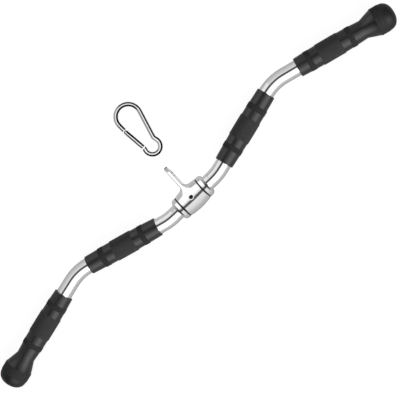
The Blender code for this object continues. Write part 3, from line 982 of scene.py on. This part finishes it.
@dataclass
class Collar:
    """A chromed shaft collar with a rounded shoulder, its set screw and its thrust washer."""

    start: float = 24.6 * MM
    straight: float = 3.6 * MM
    taper: float = 6.5 * MM
    radius: float = 20.7 * MM
    end_wall: float = 0.9 * MM
    taper_points: int = 14
    sides: int = 96
    edge: float = 0.5 * MM
    rounded_fold: float = 50.0
    washer_start: float = 23.3 * MM
    washer: float = 1.0 * MM
    washer_recess: float = 0.3 * MM
    screw_radius: float = 2.0 * MM
    screw_recess: float = 0.5 * MM
    screw_key: float = 2.0 * MM
    screw_inset: float = 3.5 * MM

    def build(self, side: Side, place: Matrix) -> None:
        """Makes the collar, the washer and the screw of one side.

        Args:
            side: the bar's left or right.
            place: the bar's frame in the row frame.
        """
        facing = place @ Matrix.Rotation(0.0 if side is Side.RIGHT else math.pi, 4, "Z")
        taper_start = self.start + self.straight
        end_radius = BORE_RADIUS + self.end_wall
        outer = [(self.start, self.radius), (self.start + 2 * self.edge, self.radius)]
        drop = self.radius - end_radius
        for cosine, sine in quarter(self.taper_points):
            outer.append((taper_start + self.taper * sine, end_radius + drop * cosine))
        ring = turn(outer + [(outer[-1][0], BORE_RADIUS), (self.start, BORE_RADIUS)], self.sides)
        soften(ring, self.edge, least=self.rounded_fold)

        # The set screw enters from underneath, near the wide end.
        inset = Matrix.Translation((self.start + self.screw_inset, 0, 0))
        middle = inset @ Matrix.Rotation(math.pi, 4, "X")
        hole = placed(bolt(self.screw_radius + SEAT_GAP, TUBE_RADIUS / 2, 2 * self.radius), middle)
        bored = cut_out(ring, hole)
        word = side.word
        finish_piece(f"chromed_{word}_collar", f"{word}_collar", Body.BAR, bored, facing, CHROME)
        top = self.radius - self.screw_recess
        SetScrew(self.screw_radius, top - TUBE_RADIUS - SEAT_GAP, self.screw_key).build(
            f"socket_{word}_collar_screw", f"{word}_collar_screw", Body.BAR,
            facing @ middle @ Matrix.Translation((0, 0, top)),
        )
        ends = (self.washer_start, self.washer_start + self.washer)
        rim = self.radius - self.washer_recess
        line = [(ends[0], rim), (ends[1], rim), (ends[1], BORE_RADIUS), (ends[0], BORE_RADIUS)]
        washer = turn(line, self.sides)
        node = f"{word}_thrust_washer"
        finish_piece(f"nylon_{word}_washer", node, Body.BAR, washer, facing, BLACK_NYLON)


@dataclass
class SwivelHub:
    """The cast and chromed hub: a barrel that turns on the tube, and a lug with an eye."""

    half_length: float = 23.0 * MM
    bore: float = 16.6 * MM
    end_radius: float = 20.7 * MM
    crown: float = 2.4 * MM
    profile_points: int = 24
    sides: int = 144
    lug_thickness: float = 6.5 * MM
    fillet: float = 10.0 * MM
    root_share: float = 0.9
    eye_standoff: float = 32.0 * MM
    eye_radius: float = 8.5 * MM
    eye_wall: float = 7.0 * MM
    screw_radius: float = 2.75 * MM
    screw_recess: float = 0.6 * MM
    screw_length: float = 5.0 * MM
    screw_key: float = 3.0 * MM
    eye_sides: int = 96
    flare_points: int = 16
    cell: float = 0.55 * MM
    smoothings: int = 14
    smoothing: float = 0.5
    crease: float = 60.0

    @property
    def radius(self) -> float:
        """The barrel's largest radius."""
        return self.end_radius + self.crown

    @property
    def eye_distance(self) -> float:
        """The distance of the eye's middle from the barrel's axis."""
        return self.radius + self.eye_standoff

    def barrel_radius(self, distance: float) -> float:
        """The barrel's radius at a distance from its middle."""
        return self.radius - self.crown * (distance / self.half_length) ** 2

    def barrel(self) -> BMesh:
        """The solid barrel, before its bore.

        Returns:
            The turned barrel.
        """
        half, points = self.half_length, self.profile_points
        distances = [half * (2 * i / points - 1) for i in range(points + 1)]
        outer = [(distance, self.barrel_radius(distance)) for distance in distances]
        return turn([(-half, 0.0), *outer, (half, 0.0)], self.sides)

    def lug(self) -> BMesh:
        """The flat lug with its flared root: a flared disc, kept inside the lug's outline.

        Returns:
            The lug, before its eye.
        """
        half = self.lug_thickness / 2
        foot = half + self.fillet
        tip_radius = self.eye_radius + self.eye_wall
        lift = self.barrel_radius(foot) + self.fillet
        flare = [
            (foot - self.fillet * cosine, lift - self.fillet * sine)
            for cosine, sine in quarter(self.flare_points)
        ]
        right = [(half, self.eye_distance + 2 * tip_radius), *flare, (foot, TUBE_RADIUS)]
        left = [(-distance, radius) for distance, radius in reversed(right)]
        circles = ((0.0, 0.0, self.radius * self.root_share), (0.0, self.eye_distance, tip_radius))
        outline = placed(hull_of_circles(circles, -foot - half, foot + half, self.sides), Z_TO_X)
        return carve(turn(right + left, self.sides), [("INTERSECT", outline)])

    def build(self, place: Matrix) -> None:
        """Joins the barrel and the lug, bores them, and rounds the casting's edges.

        Args:
            place: the swivel's frame in the row frame.
        """
        bore = placed(bolt(self.bore, -self.radius * 2, self.radius * 2, self.sides), Z_TO_X)
        eye_place = Matrix.Translation((0, self.eye_distance, 0)) @ Z_TO_X
        eye = placed(bolt(self.eye_radius, -self.fillet, self.fillet, self.eye_sides), eye_place)
        screw_hole = bolt(self.screw_radius + SEAT_GAP, TUBE_RADIUS / 2, 2 * self.radius)
        holes = [("DIFFERENCE", hole) for hole in (bore, eye, screw_hole)]
        cast = carve(self.barrel(), [("UNION", self.lug()), *holes], grain=self.cell)
        for _ in range(self.smoothings):
            bmesh.ops.smooth_vert(
                cast, verts=cast.verts, factor=self.smoothing,
                use_axis_x=True, use_axis_y=True, use_axis_z=True,
            )
        finish_piece(
            "chromed_swivel_hub", "swivel_hub", Body.SWIVEL, cast, place, CHROME, crease=self.crease
        )
        SetScrew(self.screw_radius, self.screw_length, self.screw_key).build(
            "socket_hub_screw", "hub_set_screw", Body.SWIVEL,
            place @ Matrix.Translation((0, 0, self.radius - self.screw_recess)),
        )


@dataclass
class SnapHook:
    """The loose snap hook: one bent, chromed wire and its sprung gate.

    The hook's frame has its origin in the middle of the big bow. The gate's frame has its origin
    on the pivot, and the gate runs along its -Y.
    """

    wire: float = 4.0 * MM
    sides: int = 40
    bow_step: float = math.radians(5.0)
    big_bow: float = 21.9 * MM
    small_bow: float = 14.1 * MM
    bows_apart: float = 65.3 * MM
    small_bow_offset: float = -5.9 * MM
    spine_lean: float = math.radians(16.7)
    step_start: float = math.radians(4.0)
    nose_start: float = math.radians(163.0)
    step_run: float = 7.0 * MM
    step_lead: float = 2.0 * MM
    step_bend: float = 4.5 * MM
    hinge_leg: float = 11.9 * MM
    nose_straight: float = 3.6 * MM
    nose_gap: float = 2.2 * MM
    hinge_gap: float = 0.5 * MM
    hinge_tongue: Triple = (5.6 * MM, 3.2 * MM, 3.0 * MM)
    latch_tongue: Triple = (5.2 * MM, 1.7 * MM, 2.4 * MM)
    tongue_root: float = 3.0 * MM
    rivet_radius: float = 1.5 * MM
    rivet_length: float = 7.6 * MM
    pin_radius: float = 1.2 * MM
    pin_length: float = 7.2 * MM
    pin_from_end: float = 3.0 * MM
    plunger_radius: float = 1.5 * MM
    plunger_length: float = 5.0 * MM
    plunger_travel: float = 0.9 * MM
    spring_length: float = 7.0 * MM
    spring_wire: float = 0.3 * MM
    spring_turns: int = 6
    spring_turn_points: int = 24
    spring_sides: int = 12
    gate_round_points: int = 10
    edge: float = 0.3 * MM

    @property
    def pivot(self) -> Vector:
        """The gate's pivot in the hook's frame."""
        return Vector((-self.big_bow, -self.hinge_leg - self.hinge_gap - self.wire, 0.0))

    @property
    def nose(self) -> Vector:
        """The end of the nose's centre line.

        Returns:
            The point, in the hook's frame.
        """
        spoke = heading(self.nose_start)
        ahead = Vector((spoke.y, -spoke.x, 0.0))
        centre = Vector((self.small_bow_offset, -self.bows_apart, 0.0))
        return centre + spoke * self.small_bow + ahead * self.nose_straight

    def gate_run(self) -> Pair:
        """The gate's lean and length.

        Returns:
            The angle that turns the hook's frame into the gate's, and the gate's reach from
            its pivot.
        """
        run = self.nose - self.pivot
        return math.atan2(run.x, -run.y), run.length - self.nose_gap

    def bent_wire(self) -> BMesh:
        """Bends the wire from the hinge leg round both bows to past the nose.

        Returns:
            The solid wire.
        """
        down = -math.pi / 2 - self.spine_lean
        arrival = heading(-self.spine_lean) * self.big_bow
        spoke = heading(self.step_start)
        foot = Vector((self.small_bow_offset, -self.bows_apart, 0.0)) + spoke * self.small_bow
        landing = foot + Vector((-spoke.y, spoke.x, 0.0)) * self.step_lead
        spine = (arrival.y - landing.y) / math.cos(self.spine_lean) - self.step_run
        across = landing - (arrival + heading(down) * spine)
        first = math.remainder(math.atan2(across.y, across.x) - down, math.tau)
        second = self.step_start - math.pi / 2 - down - first
        cut_first = self.step_bend * math.tan(abs(first) / 2)
        cut_second = self.step_bend * math.tan(abs(second) / 2)

        hinge_end = Vector((-self.big_bow, -self.hinge_leg, 0.0))
        rod = RodBender(self.wire, self.sides, hinge_end, math.pi / 2)
        rod.straight(self.hinge_leg)
        rod.bend(self.big_bow, -math.pi - self.spine_lean, self.bow_step)
        rod.straight(spine - cut_first).bend(self.step_bend, first, self.bow_step)
        rod.straight(across.length - cut_first - cut_second)
        rod.bend(self.step_bend, second, self.bow_step)
        rod.straight(self.step_lead - cut_second)
        rod.bend(self.small_bow, self.nose_start - math.tau - self.step_start, self.bow_step)
        rod.straight(self.nose_straight + 2 * self.wire)
        return rod.closed()

    def pin(self, radius: float, length: float) -> BMesh:
        """Makes a plain pin through the wire, with its ends rounded.

        Args:
            radius: its radius.
            length: its whole length, half of it on each side.

        Returns:
            The pin.
        """
        mesh = bolt(radius, -length / 2, length / 2)
        soften(mesh, self.edge, least=SHARP_FOLD)
        return mesh

    def build_body(self, place: Matrix) -> None:
        """Bends the body, cuts its nose and adds its two tongues and the rivet.

        Args:
            place: the hook's frame in the row frame.
        """
        lean, length = self.gate_run()
        gate = Matrix.Translation(self.pivot) @ Matrix.Rotation(lean, 4, "Z")
        nose_face = length + self.nose_gap
        wire = self.wire
        nose_cut = slab((5 * wire, 4 * wire, 4 * wire), (0, 2 * wire - nose_face, 0))
        body = cut_out(self.bent_wire(), placed(nose_cut, gate))
        soften(body, self.edge, least=SHARP_FOLD, segments=3)

        width, reach, thickness = self.hinge_tongue
        shoulder = wire + self.hinge_gap + self.tongue_root
        tongue = slab((width, shoulder + reach, thickness), (0, (shoulder - reach) / 2, 0))
        hole = bolt(self.rivet_radius + SEAT_GAP, -wire, wire)
        hinge = placed(cut_out(tongue, hole), gate)

        width, tip, thickness = self.latch_tongue
        room = self.pin_radius + SEAT_GAP
        pin = length - self.pin_from_end
        high, low = room + tip - pin, -nose_face - self.tongue_root
        tongue = slab((width, high - low, thickness), (0, (high + low) / 2, 0))
        mouth = width / 2 + room
        notch = slab((mouth, 2 * room, wire), (mouth / 2 - room + self.edge, -pin, 0))
        latch = placed(cut_out(tongue, notch), gate)
        whole = carve(body, [("UNION", hinge), ("UNION", latch)])
        finish_piece("chromed_snap_hook", "snap_hook_body", Body.HOOK, whole, place, CHROME)
        rivet = self.pin(self.rivet_radius, self.rivet_length)
        finish_piece("chromed_gate_rivet", "gate_rivet", Body.HOOK, rivet, place @ gate, CHROME)

    def build_gate(self, place: Matrix) -> None:
        """Turns the gate, slots it for both tongues, and adds the latch pin.

        Args:
            place: the gate's frame in the row frame.
        """
        length = self.gate_run()[1]
        wire = self.wire
        line = [(-wire * cosine, wire * sine) for cosine, sine in quarter(self.gate_round_points)]
        line += [(length - self.edge, wire), (length, wire - self.edge), (length, 0.0)]
        towards_nose = Matrix.Rotation(-math.pi / 2, 4, "Z")
        body = placed(turn(line, self.sides), towards_nose)

        width, reach, thickness = self.hinge_tongue
        swing = math.hypot(width / 2, reach) + SEAT_GAP
        slot_size = (3 * wire, swing + 2 * wire, thickness + 2 * RUNNING_GAP)
        hinge_slot = slab(slot_size, (0, wire - swing / 2, 0))
        width, tip, thickness = self.latch_tongue
        depth = self.pin_from_end + self.pin_radius + tip + 3 * SEAT_GAP
        latch_slot = slab((3 * wire, 2 * depth, thickness + 2 * RUNNING_GAP), (0, -length, 0))
        bore_end = reach + self.plunger_length + self.spring_length + 3 * SEAT_GAP
        bore_start = self.rivet_radius + 2 * SEAT_GAP
        bore = placed(bolt(self.plunger_radius + SEAT_GAP, bore_start, bore_end), Z_TO_MINUS_Y)
        rivet_hole = bolt(self.rivet_radius + SEAT_GAP, -2 * wire, 2 * wire)
        pin_place = Matrix.Translation((0, self.pin_from_end - length, 0))
        pin_hole = placed(bolt(self.pin_radius + SEAT_GAP, -2 * wire, 2 * wire), pin_place)
        gate = cut_out(body, hinge_slot, latch_slot, bore, rivet_hole, pin_hole)
        finish_piece("chromed_gate", "snap_hook_gate", Body.GATE, gate, place, CHROME)
        pin = self.pin(self.pin_radius, self.pin_length)
        finish_piece("chromed_latch_pin", "latch_pin", Body.GATE, pin, place @ pin_place, CHROME)

    def build_spring(self, place: Matrix) -> None:
        """Coils the gate's spring at one length and gives it a mesh of its own; the real spring
        shortens towards the nose as the gate swings in.

        Args:
            place: the gate's frame in the row frame.
        """
        start = self.hinge_tongue[1] + self.plunger_length + 2 * SEAT_GAP
        wire = self.spring_wire
        steps = self.spring_turn_points * self.spring_turns
        section = Matrix.Translation((self.plunger_radius - wire, 0, start + wire)) @ Z_TO_MINUS_Y
        coil = bmesh.new()
        bmesh.ops.create_circle(
            coil, cap_ends=False, segments=self.spring_sides, radius=wire, matrix=section
        )
        rise = (self.spring_length - 2 * wire) / steps
        bmesh.ops.spin(
            coil, geom=coil.edges[:], axis=(0, 0, 1), cent=(0, 0, 0), dvec=(0, 0, rise),
            angle=math.tau * self.spring_turns, steps=steps,
        )
        bmesh.ops.holes_fill(coil, edges=coil.edges[:])
        bmesh.ops.recalc_face_normals(coil, faces=coil.faces)
        lying = place @ Z_TO_MINUS_Y
        spring = finish_piece(
            "coil_gate_spring", "gate_spring", Body.GATE, coil, lying, SPRING_STEEL
        )
        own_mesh(spring)

    def build(self, gate_place: Matrix) -> None:
        """Makes the hook and its gate.

        Args:
            gate_place: the pivot in the row frame, unturned.
        """
        self.build_body(gate_place @ Matrix.Translation(-self.pivot))
        leaning = gate_place @ Matrix.Rotation(self.gate_run()[0], 4, "Z")
        self.build_gate(leaning)
        self.build_spring(leaning)


@dataclass
class PulldownBar:
    """The bar: the bent tube with its grips and collars."""

    tube: BentTube = field(default_factory=BentTube)
    collar: Collar = field(default_factory=Collar)

    def build(self, place: Matrix) -> None:
        """Makes every piece that turns with the bar.

        Args:
            place: the bar's frame in the row frame.
        """
        self.tube.build(place)
        inner, outer = self.tube.grip_starts()
        for side in Side:
            for grip, start, slope, kind in (
                (INNER_GRIP, inner, self.tube.rise, "inner"),
                (OUTER_GRIP, outer, -self.tube.fall, "outer"),
            ):
                angle = slope if side is Side.RIGHT else math.pi - slope
                foot = place @ Matrix.Translation((side.value * start.x, start.y, 0.0))
                grip.build(f"{kind}_{side.word}_grip", foot @ Matrix.Rotation(angle, 4, "Z"))
            self.collar.build(side, place)


def dress_inner_nodes() -> None:
    """Gives the frame's pieces that stay as they are, inside the others, their finishes."""
    finishes = {
        "left_bushing": WHITE_NYLON, "right_bushing": WHITE_NYLON, "left_tube_plug": GREY_PLASTIC,
        "right_tube_plug": GREY_PLASTIC, "spring_plunger": SPRING_STEEL,
    }
    for node, finish in finishes.items():
        materials = frame["nodes"][node].data.materials
        materials.clear()
        materials.append(finish.material())
        LOG.info("%s: kept from the frame, in %s", node, finish.name)


class Group(Enum):
    """The groups of pieces that a studio lamp can be kept to."""

    TUBE = "tube"
    GRIPS = "rubber grips"
    HUB = "hub and collars"
    HOOK = "snap hook"


@dataclass(frozen=True)
class Strip:
    """A long soft strip lamp, seen between two angles from straight up towards +Y, in degrees."""

    groups: tuple[Group, ...]
    low: float
    high: float
    radiance: float
    length: float
    distance: float = 8.0

    def hang(self, members: dict[Group, list[bpy.types.Object]]) -> None:
        """Hangs the lamp so that it lights only its own groups.

        Args:
            members: the pieces of each group.
        """
        name = f"Strip lamp {self.low:.0f} to {self.high:.0f} degrees"
        lamp = bpy.data.lights.new(name, "AREA")
        lamp.shape = "RECTANGLE"
        lamp.size = self.length
        lamp.size_y = 2 * self.distance * math.tan(math.radians(self.high - self.low) / 2)
        lamp.energy = self.radiance * math.pi * lamp.size * lamp.size_y
        hung = new_object(name, lamp)
        lean = math.radians(self.low + self.high) / 2
        above = Matrix.Translation((0, 0, self.distance))
        hung.matrix_world = Matrix.Rotation(-lean, 4, "X") @ above
        receivers = bpy.data.collections.new(name)
        for group in self.groups:
            for piece in members[group]:
                receivers.objects.link(piece)
        hung.light_linking.receiver_collection = receivers


@dataclass(frozen=True)
class Card:
    """A card that is only seen mirrored in the metal: its two corners, in mm, and its glow."""

    name: str
    low: Triple
    high: Triple
    glow: float


@dataclass
class Studio:
    """A pale floor under a long trough of soft light, as round a polished bar on a table.

    The trough's brightness is given by the angle from straight up towards +Y, first along the
    trough and then at its two ends. It has two dark slits, such as the gaps between two cloths
    leave. The strip lamps close one of them for each group of pieces, and light the side of the
    group that is bright in the photo. The floor glows by floor_camera for the camera and by
    floor_glossy for mirrored rays. A flag's top is its height in the middle of the hook's big bow
    and its slope along +Y.
    """

    trough: tuple[Triple, ...] = (
        (-180.0, 0.5, 0.15), (-96.0, 0.55, 0.12), (-71.0, 0.75, 0.06), (-50.0, 0.86, 0.05),
        (-31.0, 0.9, 0.05), (-23.0, 0.9, 0.04), (-21.0, 0.12, 0.03), (1.5, 0.12, 0.03),
        (3.5, 0.9, 0.04), (9.0, 0.9, 0.04), (11.0, 0.07, 0.04), (33.0, 0.07, 0.1),
        (37.0, 0.8, 0.3), (65.0, 0.7, 0.35), (92.0, 0.58, 0.3), (180.0, 0.5, 0.15),
    )
    trough_end: Pair = (0.45, 0.7)
    group_words: tuple[tuple[Group, tuple[str, ...]], ...] = (
        (Group.GRIPS, ("grip",)),
        (Group.HUB, ("hub", "collar", "washer", "bushing")),
        (Group.HOOK, ("hook", "gate", "rivet", "pin", "spring", "plunger")),
    )
    strips: tuple[Strip, ...] = (
        Strip((Group.TUBE, Group.GRIPS), -58.0, -22.0, 2.1, 20.0),
        Strip((Group.TUBE, Group.GRIPS, Group.HOOK), -22.0, 2.5, 1.1, 20.0),
        Strip((Group.GRIPS,), -72.0, -58.0, 1.6, 20.0),
        Strip((Group.TUBE,), 42.0, 85.0, 0.25, 0.4, distance=0.4),
        Strip((Group.GRIPS,), 42.0, 92.0, 0.9, 0.6, distance=1.0),
        Strip((Group.HUB,), 9.5, 18.0, 0.85, 12.0),
        Strip((Group.HUB,), 18.0, 35.0, 1.15, 12.0),
        Strip((Group.HUB,), 35.0, 80.0, 0.5, 12.0),
        Strip((Group.HOOK,), 10.0, 35.0, 0.75, 20.0),
    )
    floor_size: float = 14.0
    floor_drop: float = 0.2 * MM
    floor_colour: str = "#AAAAAA"
    floor_camera: float = 0.89
    floor_glossy: float = 0.4
    cards: tuple[Card, ...] = (
        Card("card_pale", (-85.0, -86.0, -0.18), (85.0, -10.0, -0.15), 0.7),
        Card("card_white", (-9.0, -64.0, -0.12), (9.0, -17.0, -0.09), 1.25),
        Card("card_black", (-12.0, -11.0, -0.12), (12.0, -9.0, 13.0), 0.0),
        Card("card_dark", (-12.0, -15.0, -0.12), (12.0, 4.0, -0.09), 0.0),
    )
    flag_colour: str = "#0A0A0A"
    flag_drop: float = 0.1 * MM
    flag_card: float = 0.05 * MM
    flag_gap: float = 9.0 * MM
    flag_inset: float = 6.0 * MM
    flag_level: float = 0.5
    wall_top: Pair = (25.5 * MM, -0.244)
    wall_back: float = 0.5
    block_top: Pair = (39.0 * MM, 0.43)
    block_side: Triple = (0.72, -0.69, 0.0)
    block_side_range: Pair = (0.6, 0.88)
    block_glow: float = 0.35

    def build_world(self) -> None:
        """Paints the trough of light, which the camera itself sees as plain white."""
        bpy.context.scene.world = bpy.data.worlds.new("Soft light trough")
        tree = clear_tree(bpy.context.scene.world)
        direction = add_node(tree, "ShaderNodeTexCoord").outputs["Generated"]
        split = add_node(tree, "ShaderNodeSeparateXYZ", None, {0: direction}).outputs
        angle = add_node(tree, "ShaderNodeMath", {"operation": "ARCTAN2"}, {
            0: split["Y"], 1: split["Z"],
        })
        share = add_node(tree, "ShaderNodeMapRange", None, {
            "Value": angle.outputs[0], "From Min": -math.pi, "From Max": math.pi,
        })
        ramp = add_node(tree, "ShaderNodeValToRGB", None, {"Fac": share.outputs["Result"]})
        stops = ramp.color_ramp.elements
        while len(stops) < len(self.trough):
            stops.new(0.5)
        for stop, (degrees, along, at_end) in zip(stops, self.trough):
            stop.position = degrees / 360 + 0.5
            stop.color = (along, at_end, 0.0, 1.0)
        levels = add_node(tree, "ShaderNodeSeparateColor", None, {0: ramp.outputs["Color"]})
        sideways = add_node(tree, "ShaderNodeMath", {"operation": "ABSOLUTE"}, {0: split["X"]})
        nearness = add_node(tree, "ShaderNodeMapRange", {"interpolation_type": "SMOOTHSTEP"}, {
            "Value": sideways.outputs[0],
            "From Min": self.trough_end[0], "From Max": self.trough_end[1],
        })
        level = add_node(tree, "ShaderNodeMix", {"data_type": "FLOAT"}, {
            0: nearness.outputs["Result"], 2: levels.outputs[0], 3: levels.outputs[1],
        })
        seen = add_node(tree, "ShaderNodeLightPath").outputs["Is Camera Ray"]
        strength = add_node(tree, "ShaderNodeMix", {"data_type": "FLOAT"}, {
            0: seen, 2: level.outputs[0], 3: 1.0,
        })
        background = add_node(tree, "ShaderNodeBackground", None, {
            "Color": (1.0, 1.0, 1.0, 1.0), "Strength": strength.outputs[0],
        })
        add_node(tree, "ShaderNodeOutputWorld", None, {"Surface": background.outputs[0]})

    def build_floor(self) -> None:
        """Lays the pale floor, which keeps a faint shadow under its white."""
        mesh = bmesh.new()
        bmesh.ops.create_grid(
            mesh, x_segments=1, y_segments=1, size=self.floor_size / 2,
            matrix=Matrix.Translation((0, 0, -self.floor_drop)),
        )
        material = bpy.data.materials.new("Pale table paper")
        tree = clear_tree(material)
        rays = add_node(tree, "ShaderNodeLightPath").outputs
        strength: Socket | float = 0.0
        for ray, level in (
            ("Is Glossy Ray", self.floor_glossy),
            ("Is Transmission Ray", self.floor_camera),
            ("Is Camera Ray", self.floor_camera),
        ):
            strength = add_node(tree, "ShaderNodeMath", {"operation": "MULTIPLY_ADD"}, {
                0: rays[ray], 1: level, 2: strength,
            }).outputs[0]
        glow = add_node(tree, "ShaderNodeEmission", None, {"Strength": strength})
        paper = add_node(tree, "ShaderNodeBsdfDiffuse", None, {"Color": linear(self.floor_colour)})
        both = add_node(tree, "ShaderNodeAddShader", None, {
            0: glow.outputs[0], 1: paper.outputs[0],
        })
        add_node(tree, "ShaderNodeOutputMaterial", None, {"Surface": both.outputs[0]})
        self.stand("floor", mesh, material, seen=True)

    def lay_cards(self) -> None:
        """Lays the cards round the hub and its lug."""
        for card in self.cards:
            material = bpy.data.materials.new(card.name)
            tree = clear_tree(material)
            glow = add_node(tree, "ShaderNodeEmission", None, {"Strength": card.glow})
            add_node(tree, "ShaderNodeOutputMaterial", None, {"Surface": glow.outputs[0]})
            low, high = (Vector([v * MM for v in corner]) for corner in (card.low, card.high))
            self.stand(card.name, slab(high - low, (high + low) / 2), material)

    def flag_material(self) -> bpy.types.Material:
        """Black card with a pale back, which is also pale where it faces the hook's straight leg.

        Returns:
            The material.
        """
        material = bpy.data.materials.new("Black card")
        tree = clear_tree(material)
        geometry = add_node(tree, "ShaderNodeNewGeometry").outputs
        turned = add_node(tree, "ShaderNodeVectorMath", {"operation": "DOT_PRODUCT"}, {
            0: geometry["Normal"], 1: self.block_side,
        })
        lit = add_node(tree, "ShaderNodeMapRange", {"interpolation_type": "SMOOTHSTEP"}, {
            "Value": turned.outputs["Value"],
            "From Min": self.block_side_range[0], "From Max": self.block_side_range[1],
        })
        card = add_node(tree, "ShaderNodeBsdfDiffuse", None, {"Color": linear(self.flag_colour)})
        glow = add_node(tree, "ShaderNodeEmission", None, {"Strength": self.block_glow})
        front = add_node(tree, "ShaderNodeMixShader", None, {
            0: lit.outputs["Result"], 1: card.outputs[0], 2: glow.outputs[0],
        })
        pale = add_node(tree, "ShaderNodeEmission", None, {"Strength": self.wall_back})
        side = add_node(tree, "ShaderNodeMixShader", None, {
            0: geometry["Backfacing"], 1: front.outputs[0], 2: pale.outputs[0],
        })
        add_node(tree, "ShaderNodeOutputMaterial", None, {"Surface": side.outputs[0]})
        return material

    def build_flags(self) -> None:
        """Stands card round and inside the snap hook, tall where the photo's wire is dark.

        Only mirrored rays meet the card, so it darkens the hook's wire and nothing else.
        """
        hook = SnapHook()
        place = Matrix.Translation(joint_place("gate_hinge") - hook.pivot)
        low = -self.flag_drop - place.translation.z
        thin = self.flag_card

        def belt(grown: float, under: float, over: float) -> BMesh:
            """Makes a card that lies round both of the hook's bows.

            Args:
                grown: how far it reaches past the bows' centre line.
                under: height of its lower side, in thicknesses of the card.
                over: height of its upper side, in thicknesses of the card.

            Returns:
                The card.
            """
            big = (0.0, 0.0, hook.big_bow + grown)
            small = (hook.small_bow_offset, -hook.bows_apart, hook.small_bow + grown)
            return hull_of_circles((big, small), low + under * thin, low + over * thin)

        def stretch(mesh: BMesh, top: Pair) -> BMesh:
            """Raises a card's upper side to its sloping top.

            Args:
                mesh: the card.
                top: its height in the big bow's middle and its slope along +Y.

            Returns:
                The card.
            """
            for vert in mesh.verts:
                if vert.co.z > low + thin:
                    vert.co.z = top[0] + top[1] * vert.co.y
            return mesh

        mat = cut_out(belt(hook.wire, 0, 1), belt(-hook.wire, -1, 2))
        # The wall has neither a bottom nor a top, and its face is on its inner side.
        wall = belt(hook.wire + self.flag_gap, 0, 3)
        level = [face for face in wall.faces if abs(face.normal.z) > self.flag_level]
        bmesh.ops.delete(wall, geom=level, context="FACES_ONLY")
        bmesh.ops.reverse_faces(wall, faces=wall.faces)
        block = belt(-hook.wire - self.flag_inset, 0, 3)
        material = self.flag_material()
        for name, mesh in (
            ("flag_mat", mat),
            ("flag_wall", stretch(wall, self.wall_top)),
            ("flag_block", stretch(block, self.block_top)),
        ):
            self.stand(name, placed(mesh, place), material)

    def stand(
        self, name: str, mesh: BMesh, material: bpy.types.Material, seen: bool = False
    ) -> None:
        """Puts a piece of the stage in the scene.

        Args:
            name: its name.
            mesh: its shape, which is used up.
            material: its material.
            seen: whether all rays meet it, and not only mirrored ones.
        """
        stood = mesh_object(name, mesh)
        stood.data.materials.append(material)
        stood.visible_camera = stood.visible_diffuse = seen
        stood.visible_shadow = stood.visible_transmission = seen

    def build(self) -> None:
        """Sets up the light and the floor round the finished pieces."""
        members: dict[Group, list[bpy.types.Object]] = {group: [] for group in Group}
        for piece in bpy.data.objects:
            if piece.type == "MESH":
                named = [
                    group for group, words in self.group_words
                    if any(word in piece.name for word in words)
                ]
                members[named[0] if named else Group.TUBE].append(piece)
        self.build_world()
        self.build_floor()
        self.lay_cards()
        self.build_flags()
        for strip in self.strips:
            strip.hang(members)


@dataclass
class PhotoCamera:
    """A camera over the table, turned by its roll and leaning towards its own top and right.

    The angles, aim and scale were fitted to the outlines of the grips and the hook.
    """

    roll: float = 44.105
    lean_up: float = 6.689
    lean_right: float = 1.748
    aim: Triple = (4.737 * MM, -98.13 * MM, 20.0 * MM)
    distance: float = 2.35
    frame_width: float = 0.69
    sensor: float = 36.0
    farthest: float = 100.0

    def build(self) -> None:
        """Sets the camera up and makes it the scene's."""
        turned = Matrix.Rotation(-math.radians(self.roll), 4, "Z")
        turned @= Matrix.Rotation(-math.radians(self.lean_up), 4, "X")
        turned @= Matrix.Rotation(math.radians(self.lean_right), 4, "Y")
        data = bpy.data.cameras.new("photo camera")
        data.sensor_width = self.sensor
        data.lens = self.sensor * self.distance / self.frame_width
        data.clip_end = self.farthest
        camera = new_object("photo camera", data)
        back = Matrix.Translation((0, 0, self.distance))
        camera.matrix_world = Matrix.Translation(self.aim) @ turned @ back
        bpy.context.scene.camera = camera


def main() -> None:
    """Builds the bar, the swivel, the snap hook and the studio, in this order."""
    logging.basicConfig(level=logging.INFO, format="%(name)s: %(message)s")
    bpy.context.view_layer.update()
    axis = Matrix.Translation(joint_place("hub_swivel"))
    steps: tuple[tuple[str, Callable[[], None]], ...] = (
        ("camera", PhotoCamera().build),
        ("bar", lambda: PulldownBar().build(axis @ Matrix.Rotation(BAR_TILT, 4, "X"))),
        ("swivel", lambda: SwivelHub().build(axis @ Matrix.Rotation(SWIVEL_DROOP, 4, "X"))),
        ("snap hook", lambda: SnapHook().build(Matrix.Translation(joint_place("gate_hinge")))),
        ("inner pieces", dress_inner_nodes),
        ("studio", Studio().build),
    )
    for name, build in steps:
        build()
        LOG.info("%s: done", name)
    bpy.context.scene.view_settings.view_transform = "Standard"


if __name__ == "__main__":
    main()
